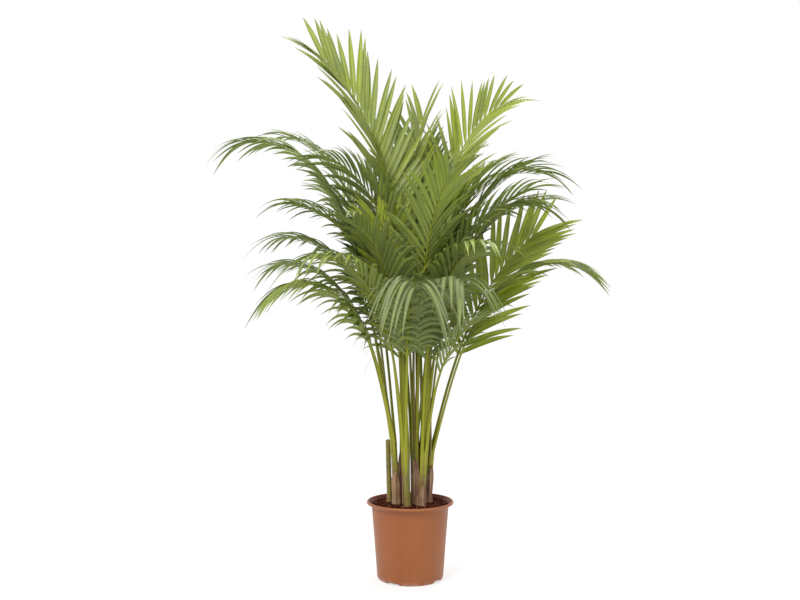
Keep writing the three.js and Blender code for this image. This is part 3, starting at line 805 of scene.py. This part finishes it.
def makeDryBase(base, number):
    s = dryBaseSizes
    node = "dry_sheath_" + base["cane"]
    radii = canes[base["cane"]]["radii"]
    foot, top = caneAxis(base["cane"])[:2]
    rows, columns = s["rows"], s["columns"]
    outer, inner = [], []
    for row in range(rows + 1):
        up = row / rows
        half = math.radians(mix(base["span"] / 2, s["tipHalf"], up ** 1.5))
        for column in range(columns + 1):
            across = 2 * column / columns - 1
            angle = math.radians(base["middle"]) + across * half
            torn = noise.noise(Vector((across * 3.1, number * 9.0, 1.0)))
            torn += 0.6 * noise.noise(Vector((across * 11.0, number * 5.0, 4.0)))
            z = mix(s["from"], base["to"], up) + s["ragged"] * torn * up ** 2
            level = (z - foot.z) / (top.z - foot.z)
            centre = foot.lerp(top, level)
            hug = mix(*radii, max(0.0, level)) + s["lift"]
            loose = 0.6 + 0.5 * noise.noise(Vector((across * 2, number, 0)))
            hug += s["flare"] * max(0.0, 1 - up * 4.5) * loose
            hug += s["looseEdge"] * abs(across) ** 3 * (0.4 + 0.6 * up)
            hug += s["crease"] * noise.noise(Vector((across * 5, z * 40, number * 3.0)))
            outer.append(centre + spoke(angle) * (hug + s["thickness"]))
            inner.append(centre + spoke(angle) * hug)
    n = columns + 1
    count = (rows + 1) * n
    faces = []
    for row in range(rows):
        for column in range(columns):
            a = row * n + column
            faces.append((a, a + 1, a + n + 1, a + n))
            faces.append((count + a, count + a + n, count + a + n + 1, count + a + 1))
        a, b = row * n, row * n + columns
        faces.append((a, a + n, count + a + n, count + a))
        faces.append((b, count + b, count + b + n, b + n))
    for column in range(columns):
        a, b = column, rows * n + column
        faces.append((a, count + a, count + a + 1, a + 1))
        faces.append((b, b + 1, count + b + 1, count + b))
    piece = meshObject(node + "_wrap", outer + inner, faces)
    piece.data.materials.append(drySheath)
    smoothShade(piece, 55)
    standsFor(piece, node)


for number, base in enumerate(dryBases):
    makeDryBase(base, number)
print("dry leaf bases:", len(dryBases))


# the fronds, one row each: cane, seat (side of the cane), way it bows, length, lean at foot and at tip,
# how late it bends, bare share of the stalk, leaflet pairs, leaflet length, rise, twist, spread, tone,
# droop, arch
frondRows = [
    ("middle_left", 150, 178, 1.125, 0.5, 50, 3, 0.55, 19, 0.222, 28, -58, 0.9, 0.62, 0.10, 0.02),
    ("middle_left", 270, 215, 0.830, 3, 84, 4, 0.46, 18, 0.215, -6, 0, 1.2, 0.34, 0.30, 0.06),
    ("middle_left", 30, 60, 0.940, 1, 26, 3, 0.54, 16, 0.200, 30, 0, 1, 0.62, 0.14, 0.03),
    ("left", 185, 181, 1.010, 9, 106, 4, 0.41, 22, 0.200, -14, 0, 0.95, 0.48, 0.34, 0.07),
    ("left", 285, 198, 0.590, 12, 122, 3, 0.46, 16, 0.185, -14, 0, 1.1, 0.62, 0.46, 0.08),
    ("left", 85, 172, 0.690, 9, 92, 3, 0.45, 17, 0.205, 4, 0, 1.25, 0.36, 0.42, 0.06),
    ("front", 260, 275, 0.590, 6, 125, 3, 0.46, 16, 0.190, -8, 0, 1.2, 0.12, 0.75, 0.16),
    ("front", 150, 222, 0.660, 8, 108, 3, 0.44, 17, 0.190, 0, 0, 1.2, 0.58, 0.45, 0.07),
    ("front", 20, 190, 0.640, 3, 24, 3, 0.46, 15, 0.175, 24, -84, 1.1, 0.98, 0.12, 0.03),
    ("centre", 60, 358, 0.920, 6, 112, 4, 0.46, 20, 0.200, 10, 0, 1.15, 0.50, 0.28, 0.06),
    ("centre", 180, 146, 0.880, 2.4, 32, 3, 0.48, 16, 0.205, 28, 0, 1.1, 0.70, 0.16, 0.03),
    ("centre", 300, 290, 0.780, 4, 66, 3, 0.46, 16, 0.195, 15, 0, 1.1, 0.74, 0.22, 0.05),
    ("front_right", 210, 292, 0.600, 5, 118, 3, 0.46, 15, 0.180, -8, 0, 1.1, 0.26, 0.65, 0.14),
    ("front_right", 90, 352, 0.815, 6, 106, 4, 0.46, 17, 0.195, -4, 0, 1.1, 0.42, 0.36, 0.06),
    ("front_right", 330, 330, 0.420, 8, 66, 2.5, 0.56, 9, 0.125, 5, 0, 1, 0.40, 0.22, 0.05),
    ("right", 340, 352, 0.730, 15, 116, 3, 0.42, 18, 0.180, -18, 0, 0.85, 0.50, 0.26, 0.07),
    ("right", 80, 4, 0.700, 14, 52, 2, 0.42, 15, 0.222, 22, 76, 1, 0.80, 0.08, 0.02),
    ("right", 200, 95, 0.880, 1, 28, 3, 0.44, 19, 0.200, 26, 0, 1.1, 0.50, 0.14, 0.03),
    ("back", 90, 84, 0.840, 5, 96, 3, 0.43, 16, 0.200, 5, 0, 1.2, 0.38, 0.24, 0.05),
    ("back", 190, 116, 0.700, 8, 112, 3, 0.43, 15, 0.190, -5, 0, 1.2, 0.32, 0.26, 0.06),
    ("back", 340, 56, 0.920, 5, 64, 3, 0.48, 17, 0.205, 20, 0, 1.1, 0.45, 0.18, 0.04),
    ("back_left", 150, 158, 1.020, 7, 82, 4, 0.48, 19, 0.195, 0, 0, 1, 0.40, 0.22, 0.06),
    ("back_left", 40, 130, 0.860, 8, 76, 3, 0.46, 16, 0.200, 20, 0, 1.2, 0.38, 0.20, 0.05),
    ("back_left", 265, 180, 0.630, 12, 92, 3, 0.46, 16, 0.200, 0, 0, 1.25, 0.30, 0.42, 0.06),
    ("back_right", 25, 27, 1.070, 3.5, 66, 4, 0.52, 18, 0.200, 28, 50, 1, 0.74, 0.14, 0.03),
    ("back_right", 280, 6, 0.850, 6, 64, 3, 0.46, 18, 0.205, 5, 0, 1.2, 0.50, 0.24, 0.05),
    ("back_right", 130, 72, 0.740, 9, 104, 3, 0.44, 15, 0.195, 0, 0, 1.2, 0.36, 0.24, 0.05),
    ("inner_left", 200, 190, 0.800, 5, 84, 3, 0.48, 18, 0.200, 2, 0, 1.15, 0.55, 0.36, 0.06),
    ("inner_left", 78, 149, 0.820, 0.5, 40, 3, 0.48, 16, 0.200, 22, 0, 1.1, 0.46, 0.18, 0.04),
    ("inner_left", 316, 233, 0.700, 4.8, 72, 3, 0.46, 17, 0.190, 6, 0, 1.2, 0.48, 0.38, 0.06),
    ("inner_right", 34, 16, 0.860, 6.4, 88, 3, 0.48, 17, 0.200, 6, 0, 1.15, 0.40, 0.26, 0.06),
    ("inner_right", 168, 100, 0.960, 4.7, 38, 3, 0.50, 16, 0.200, 24, 0, 1.1, 0.70, 0.16, 0.04),
    ("inner_right", 281, 305, 0.690, 3.2, 98, 3, 0.46, 15, 0.190, 0, 0, 1.15, 0.55, 0.42, 0.07),
    ("inner_back", 59, 36, 0.900, 4.8, 62, 3, 0.48, 18, 0.205, 10, 0, 1.15, 0.62, 0.20, 0.05),
    ("inner_back", 170, 106, 0.900, 1.9, 44, 3, 0.50, 16, 0.200, 20, 0, 1.1, 0.40, 0.18, 0.04),
    ("inner_back", 310, 333, 0.800, 8.6, 74, 3, 0.46, 16, 0.195, 4, 0, 1.15, 0.56, 0.26, 0.06),
]
frondWords = ("cane", "seat", "bows", "length", "leanFoot", "leanTip", "bend", "bare", "pairs", "leaflet",
              "rise", "twist", "spread", "tone", "droop", "arch")
fronds = [dict(zip(frondWords, row)) for row in frondRows]

frondSizes = {
    "seatRadius": 0.0055,
    "seatGap": 0.0006,
    "footRadius": 0.0042,
    "middleRadius": 0.0036,
    "tipRadius": 0.0009,
    "clasp": 0.070,
    "claspSteps": 7,
    "claspOut": 0.0022,
    "swell": 0.28,
    "swellReach": 0.11,
    "halfWidth": 0.0066,
    "fanHalfWidth": 0.0084,
    "fanLeaflet": 0.22,
    "closer": 1.3,
    "fanCloser": 1.2,
    "lower": 0.03,
    "lowerInside": 0.09,
    "sweepFoot": 48.0,
    "sweepTip": 20.0,
    "turn": 14.0,
    "uneven": 0.06,
    "steps": 54,
}

# half the leaflet's width, at shares of its length
bladeOutline = (
    (0, 0.26), (0.09, 0.72), (0.22, 0.96), (0.42, 1.0), (0.62, 0.88), (0.80, 0.58), (0.92, 0.27), (1, 0.02))


def frondLine(frond):
    # the midrib as a line of points, with its share, its face and its radius at each
    s = frondSizes
    seat = math.radians(frond["seat"])
    bows = math.radians(frond["bows"])
    top, caneWay = caneAxis(frond["cane"])[1:]
    out = spoke(seat)
    point = top + out * s["seatRadius"] + Vector((0, 0, s["seatGap"]))
    rows = []
    for k in range(s["claspSteps"], 0, -1):
        down = k / s["claspSteps"]
        place = point - caneWay * s["clasp"] * down - out * s["claspOut"] * down
        rows.append((place, -s["clasp"] * down / frond["length"], s["footRadius"] * (1 + s["swell"])))
    ups = []
    for i in range(s["steps"] + 1):
        share = (i / s["steps"]) ** 0.85
        after = ((i + 1) / s["steps"]) ** 0.85
        lean = math.radians(mix(frond["leanFoot"], frond["leanTip"], share ** frond["bend"]))
        along = Vector((math.cos(bows) * math.sin(lean), math.sin(bows) * math.sin(lean), math.cos(lean)))
        side = Vector((-math.sin(bows), math.cos(bows), 0))
        side = Matrix.Rotation(math.radians(frond["twist"]), 3, along) @ side
        if share < frond["bare"]:
            radius = mix(s["footRadius"], s["middleRadius"], share / frond["bare"])
            radius *= 1 + s["swell"] * max(0.0, 1 - share * frond["length"] / s["swellReach"]) ** 2
        else:
            radius = mix(s["middleRadius"], s["tipRadius"], (share - frond["bare"]) / (1 - frond["bare"]))
        rows.append((point.copy(), share, radius))
        ups.append(along.cross(side))
        point += along * (after - share) * frond["length"]
    ups = [ups[0]] * s["claspSteps"] + ups
    line = meshObject("midrib", [r[0] for r in rows], [], [(i, i + 1) for i in range(len(rows) - 1)])
    for column, name in ((1, "stalkAlong"), (2, "stalkRadius")):
        data = line.data.attributes.new(name, "FLOAT", "POINT").data
        data.foreach_set("value", [r[column] for r in rows])
    data = line.data.attributes.new("stalkTop", "FLOAT_VECTOR", "POINT").data
    data.foreach_set("vector", [c for up in ups for c in up])
    return line


def bladeOf(tree):
    # one leaflet, 1 long along +X and 2 wide, folded along its midrib, pointed at the tip
    line = take(tree, "GeometryNodeCurvePrimitiveLine", {"Start": (0, 0, 0), "End": (1, 0, 0)})
    line = take(tree, "GeometryNodeResampleCurve", {"Curve": line, "Count": 12})
    along = put(tree, "GeometryNodeSplineParameter").outputs["Factor"]
    shape = put(tree, "ShaderNodeFloatCurve", {"Value": along})
    curve = shape.mapping.curves[0]
    curve.points[0].location = bladeOutline[0]
    curve.points[1].location = bladeOutline[-1]
    for x, y in bladeOutline[1:-1]:
        curve.points.new(x, y)
    shape.mapping.update()
    line = store(tree, line, "bladeAlong", along)
    section = take(tree, "GeometryNodeCurvePrimitiveQuadrilateral", {
        "Point 1": (-1, -0.34, 0), "Point 2": (0, -0.03, 0),
        "Point 3": (1, -0.34, 0), "Point 4": (0, 0.06, 0)}, mode="POINTS")
    section = store(tree, section, "bladeAcross", split(tree, take(tree, "GeometryNodeInputPosition"))["X"])
    blade = take(tree, "GeometryNodeCurveToMesh", {
        "Curve": line, "Profile Curve": section, "Scale": shape.outputs[0], "Fill Caps": True})
    facing = split(tree, take(tree, "GeometryNodeInputNormal"))["Z"]
    blade = store(tree, blade, "bladeTop", calc(tree, "GREATER_THAN", facing, 0.0), domain="FACE")
    blade = take(tree, "GeometryNodeSetShadeSmooth", {"Geometry": blade, "Shade Smooth": True}, domain="FACE")
    angle = put(tree, "GeometryNodeInputMeshEdgeAngle").outputs["Unsigned Angle"]
    fold = calc(tree, "GREATER_THAN", angle, math.radians(28))
    return take(tree, "GeometryNodeSetShadeSmooth", {
        "Geometry": blade, "Selection": fold, "Shade Smooth": False}, domain="EDGE")


def growStalk(tree, line, finish):
    # round below and channelled above
    section = take(tree, "GeometryNodeCurvePrimitiveCircle", {"Resolution": 10, "Radius": 1.0})
    across = split(tree, take(tree, "GeometryNodeInputPosition"))["X"]
    channel = take(tree, "ShaderNodeCombineXYZ", {0: remap(tree, across, 0.5, 1.0, 0.0, -0.52)})
    section = take(tree, "GeometryNodeSetPosition", {"Geometry": section, "Offset": channel})
    around = put(tree, "GeometryNodeSplineParameter").outputs["Factor"]
    section = store(tree, section, "stalkAround", calc(tree, "WRAP", around, 0.5, -0.5))
    stalk = take(tree, "GeometryNodeCurveToMesh", {
        "Curve": line, "Profile Curve": section, "Scale": stored(tree, "stalkRadius"), "Fill Caps": True})
    stalk = take(tree, "GeometryNodeSetShadeSmooth", {"Geometry": stalk, "Shade Smooth": True})
    return coat(tree, stalk, finish)


def frondTree():
    tree = newTree("frond", Int=("Pairs", "Number"), Material=("Blade", "Stalk"), Float=(
        "Frond Length", "Clasp", "Bare", "Leaflet Length", "Half Width", "Sweep Foot", "Sweep Tip", "Spread",
        "Rise", "Droop", "Arch", "Turn", "Uneven", "Tone"))
    given = tree.nodes.new("NodeGroupInput").outputs

    def scaled(vector, amount):
        return vectorCalc(tree, "SCALE", vector, amount)

    def added(a, b):
        return vectorCalc(tree, "ADD", a, b)

    def degrees(a):
        return calc(tree, "RADIANS", a)

    def luck(extra):
        # a random share from -1 to 1 for each leaflet, a different one for each use
        seed = plus(tree, given["Number"], 40.0 * extra)
        return put(tree, "FunctionNodeRandomValue", {2: -1.0, 3: 1.0, "Seed": seed}).outputs[1]

    def unevenness(extra, amount):
        return times(tree, luck(extra), times(tree, given["Uneven"], amount))

    line = take(tree, "GeometryNodeMeshToCurve", {"Mesh": given["Geometry"]})
    line = take(tree, "GeometryNodeSetCurveNormal", {
        "Curve": line, "Normal": stored(tree, "stalkTop", "FLOAT_VECTOR")}, mode="FREE")
    stalk = growStalk(tree, line, given["Stalk"])

    # the place each leaflet grows from: even ones on the left hand, odd ones on the right
    index = take(tree, "GeometryNodeInputIndex")
    pair = calc(tree, "FLOOR", calc(tree, "DIVIDE", index, 2.0))
    hand = plus(tree, times(tree, calc(tree, "MODULO", index, 2.0), 2.0), -1.0)
    up = calc(tree, "DIVIDE", plus(tree, pair, 0.4), given["Pairs"])
    wave = plus(tree, times(tree, pair, 7.3), times(tree, hand, 2.1))
    wave = calc(tree, "SINE", plus(tree, wave, times(tree, given["Number"], 1.7)))
    share = remap(tree, up, 0.0, 1.0, given["Bare"], 0.992)
    reach = plus(tree, given["Clasp"], times(tree, share, given["Frond Length"]))
    spot = put(tree, "GeometryNodeSampleCurve", {"Curves": line, "Length": reach}, mode="LENGTH").outputs
    along, face, root = spot["Tangent"], spot["Normal"], spot["Position"]
    side = vectorCalc(tree, "CROSS_PRODUCT", face, along)

    # how long it is, how far it sweeps back from the midrib and how far it rises over it
    swing = calc(tree, "SINE", plus(tree, times(tree, up, 0.66 * math.pi), 0.2 * math.pi))
    size = times(tree, remap(tree, swing, 0, 1, 0.42, 1.0), given["Leaflet Length"])
    size = times(tree, size, plus(tree, times(tree, wave, 0.05), plus(
        tree, times(tree, luck(1), given["Uneven"]), 1.0)))
    sweep = times(tree, remap(tree, up, 0, 1, given["Sweep Foot"], given["Sweep Tip"]), given["Spread"])
    sweep = degrees(plus(tree, sweep, plus(tree, times(tree, wave, 3.0), unevenness(2, 60.0))))
    rise = degrees(plus(tree, given["Rise"], plus(tree, times(tree, wave, -3.0), unevenness(3, 90.0))))
    outward = added(
        scaled(side, times(tree, hand, calc(tree, "COSINE", rise))), scaled(face, calc(tree, "SINE", rise)))
    way = added(scaled(along, calc(tree, "COSINE", sweep)), scaled(outward, calc(tree, "SINE", sweep)))
    edge = scaled(way, vectorCalc(tree, "DOT_PRODUCT", along, way))
    edge = vectorCalc(tree, "NORMALIZE", vectorCalc(tree, "SUBTRACT", along, edge))
    bladeFace = scaled(vectorCalc(tree, "CROSS_PRODUCT", edge, way), hand)
    level = vectorCalc(tree, "LENGTH", vectorCalc(tree, "MULTIPLY", way, (1, 1, 0)))
    span = times(tree, times(tree, size, level), plus(tree, unevenness(4, 4.0), 1.0))
    chance = luck(0)
    tone = plus(tree, given["Tone"], plus(tree, times(tree, chance, 0.13), times(tree, wave, 0.05)))

    spots = take(tree, "GeometryNodePoints", {"Count": times(tree, given["Pairs"], 2.0), "Position": root})
    spots = store(tree, spots, "leafRoot", root, "FLOAT_VECTOR")
    spots = store(tree, spots, "leafWay", way, "FLOAT_VECTOR")
    spots = store(tree, spots, "leafSpan", span)
    spots = store(tree, spots, "leafTurn", degrees(times(tree, chance, given["Turn"])))
    spots = store(tree, spots, "bladeTone", tone)
    pointing = take(tree, "FunctionNodeAxesToRotation", {0: way, 1: bladeFace},
                    primary_axis="X", secondary_axis="Z")
    width = times(tree, given["Half Width"], remap(tree, size, 0.0, 0.2, 0.55, 1.0))
    leaves = take(tree, "GeometryNodeInstanceOnPoints", {
        "Points": spots, "Instance": bladeOf(tree), "Rotation": pointing,
        "Scale": take(tree, "ShaderNodeCombineXYZ", {0: size, 1: width, 2: width})})
    leaves = take(tree, "GeometryNodeRealizeInstances", {"Geometry": leaves})

    # each blade turns a little about its own length, then arches and lets its tip hang
    t = stored(tree, "bladeAlong")
    turned = take(tree, "ShaderNodeVectorRotate", {
        "Vector": take(tree, "GeometryNodeInputPosition"), "Center": stored(tree, "leafRoot", "FLOAT_VECTOR"),
        "Axis": stored(tree, "leafWay", "FLOAT_VECTOR"), "Angle": times(tree, stored(tree, "leafTurn"), t)},
        rotation_type="AXIS_ANGLE")
    hang = times(tree, calc(tree, "POWER", t, 2.2), times(tree, given["Droop"], -1.0))
    bow = times(tree, times(tree, times(tree, t, calc(tree, "SUBTRACT", 1.0, t)), 4.0), given["Arch"])
    lift = times(tree, plus(tree, hang, bow), stored(tree, "leafSpan"))
    bent = added(turned, take(tree, "ShaderNodeCombineXYZ", {2: lift}))
    leaves = take(tree, "GeometryNodeSetPosition", {"Geometry": leaves, "Position": bent})
    for spare in ("leafRoot", "leafWay", "leafSpan", "leafTurn"):
        leaves = take(tree, "GeometryNodeRemoveAttribute", {"Geometry": leaves, "Name": spare})
    leaves = coat(tree, leaves, given["Blade"])

    whole = put(tree, "GeometryNodeJoinGeometry")
    tree.links.new(leaves, whole.inputs[0])
    tree.links.new(stalk, whole.inputs[0])
    put(tree, "NodeGroupOutput", {0: take(tree, "GeometryNodeRealizeInstances", {
        "Geometry": whole.outputs[0]})})
    return tree


def makeFrond(frond, number, tree):
    s = frondSizes
    node = "frond_%02d" % (number + 1)
    # the widest fronds keep fewer, broader leaflets; those inside the clump begin lower
    fan = frond["leaflet"] >= s["fanLeaflet"]
    inside = "inner" in frond["cane"] or "centre" in frond["cane"]
    bare = frond["bare"] - (s["lowerInside"] if inside else s["lower"])
    closer = (s["fanCloser"] if fan else s["closer"]) * (1 - bare) / (1 - frond["bare"])
    piece = grow(frondLine(frond), tree, {
        "Pairs": round(frond["pairs"] * closer), "Frond Length": frond["length"],
        "Clasp": s["clasp"], "Bare": bare, "Leaflet Length": frond["leaflet"],
        "Half Width": s["fanHalfWidth"] if fan else s["halfWidth"],
        "Sweep Foot": s["sweepFoot"], "Sweep Tip": s["sweepTip"],
        "Spread": float(frond["spread"]), "Rise": float(frond["rise"]),
        "Droop": frond["droop"], "Arch": frond["arch"], "Turn": s["turn"], "Uneven": s["uneven"],
        "Tone": frond["tone"], "Number": number, "Blade": leafBlade, "Stalk": leafStalk}, node + "_leaf")
    standsFor(piece, node)
    return len(piece.data.polygons)


frondBuilder = frondTree()
frondFaces = [makeFrond(frond, number, frondBuilder) for number, frond in enumerate(fronds)]
print("fronds:", len(fronds), "with", sum(frondFaces), "faces")


# spear leaves, still folded into rods

spears = [
    {"node": "spear_leaf_1", "cane": "centre", "seat": 240, "bows": 240, "length": 0.560, "lean": 1},
    {"node": "spear_leaf_2", "cane": "right", "seat": 270, "bows": 250, "length": 0.430, "lean": 1},
]

spearSizes = {
    "rings": 60,
    "sides": 12,
    "radii": ((0, 0.0036), (0.2, 0.0028), (0.45, 0.0026), (0.75, 0.0022), (1, 0.0004)),
    "buried": 0.02,
    "pleat": 0.10,
}


def alongList(pairs, share):
    for (a, low), (b, high) in zip(pairs, pairs[1:]):
        if share <= b:
            return mix(low, high, (share - a) / (b - a))
    return pairs[-1][1]


def makeSpear(spear):
    s = spearSizes
    top = caneAxis(spear["cane"])[1]
    seat, bows, lean = (math.radians(spear[word]) for word in ("seat", "bows", "lean"))
    along = Vector((math.cos(bows) * math.sin(lean), math.sin(bows) * math.sin(lean), math.cos(lean)))
    start = top + spoke(seat) * frondSizes["seatRadius"]
    points, faces = [], []
    for ring in range(s["rings"] + 1):
        share = ring / s["rings"]
        centre = start + along * (spear["length"] * share - s["buried"] * (1 - share))
        radius = alongList(s["radii"], share)
        for i in range(s["sides"]):
            angle = 2 * math.pi * i / s["sides"]
            # pleats wind slowly round the rod
            pleat = 1 + s["pleat"] * math.cos(3 * angle + 9 * share)
            points.append(centre + spoke(angle) * radius * pleat)
    n = s["sides"]
    for ring in range(s["rings"]):
        for i in range(n):
            j = (i + 1) % n
            faces.append((ring * n + i, ring * n + j, ring * n + n + j, ring * n + n + i))
    faces.append(tuple(range(n - 1, -1, -1)))
    faces.append(tuple(s["rings"] * n + i for i in range(n)))
    piece = meshObject(spear["node"] + "_rod", points, faces)
    piece.data.materials.append(greenCane)
    smoothShade(piece, 60)
    standsFor(piece, spear["node"])


for spear in spears:
    makeSpear(spear)
print("spear leaves:", len(spears))


# floor, light and camera; a light is its place, watts, size and colour

stageSizes = {
    "floorReach": 14,
    "floorColour": (0.86, 0.86, 0.86),
    "floorFade": (0.2, 2.2),
    "lights": (
        ("keyLight", (-1.6, -2.6, 3.2), 110, 1.1, (1.0, 0.98, 0.94)),
        ("fillLight", (2.4, -2.0, 1.6), 12, 2.4, (1.0, 1.0, 1.0)),
        ("topLight", (0.3, 1.2, 3.6), 75, 1.3, (1.0, 0.99, 0.95))),
    "lightsLookAt": (0, 0, 0.7),
    "cameraPlace": (-0.028, -2.3, 0.667),
    "cameraTilt": 92.4,
    "lens": 37.1,
}


def makeStage():
    s = stageSizes
    reach, white = s["floorReach"], (1.0, 1.0, 1.0, 1)
    corners = [(-reach, -reach, 0), (reach, -reach, 0), (reach, reach, 0), (-reach, reach, 0)]
    floor = meshObject("floor", corners, [(0, 1, 2, 3)])
    material, tree = newMaterial("paleFloor", s["floorColour"])
    skin = take(tree, "ShaderNodeBsdfPrincipled", {"Base Color": (*s["floorColour"], 1), "Roughness": 0.9})
    # the floor fades into the white background with distance, so there is no horizon line
    place = put(tree, "ShaderNodeTexCoord").outputs["Object"]
    far = remap(tree, vectorCalc(tree, "LENGTH", place), *s["floorFade"], 0.55, 1.0, smooth=True)
    cover(tree, skin, take(tree, "ShaderNodeEmission", {"Color": white, "Strength": 1.0}), far)
    floor.data.materials.append(material)
    world = bpy.data.worlds.new("studio")
    scene.world = world
    world.use_nodes = True
    background = world.node_tree.nodes["Background"].inputs
    background["Color"].default_value = white
    background["Strength"].default_value = 1.0
    for name, place, power, size, colour in s["lights"]:
        data = bpy.data.lights.new(name, "AREA")
        data.energy, data.size, data.color = power, size, colour
        light = addObject(name, data)
        light.location = place
        light.rotation_mode = "QUATERNION"
        light.rotation_quaternion = (Vector(s["lightsLookAt"]) - Vector(place)).to_track_quat("-Z", "Y")
    camera = addObject("camera", bpy.data.cameras.new("camera"))
    camera.location = s["cameraPlace"]
    camera.rotation_euler = (math.radians(s["cameraTilt"]), 0, 0)
    camera.data.lens = s["lens"]
    camera.data.sensor_width = 36
    camera.data.clip_end = 60
    scene.camera = camera
    scene.view_settings.view_transform = "Standard"


makeStage()
print("stage ready")
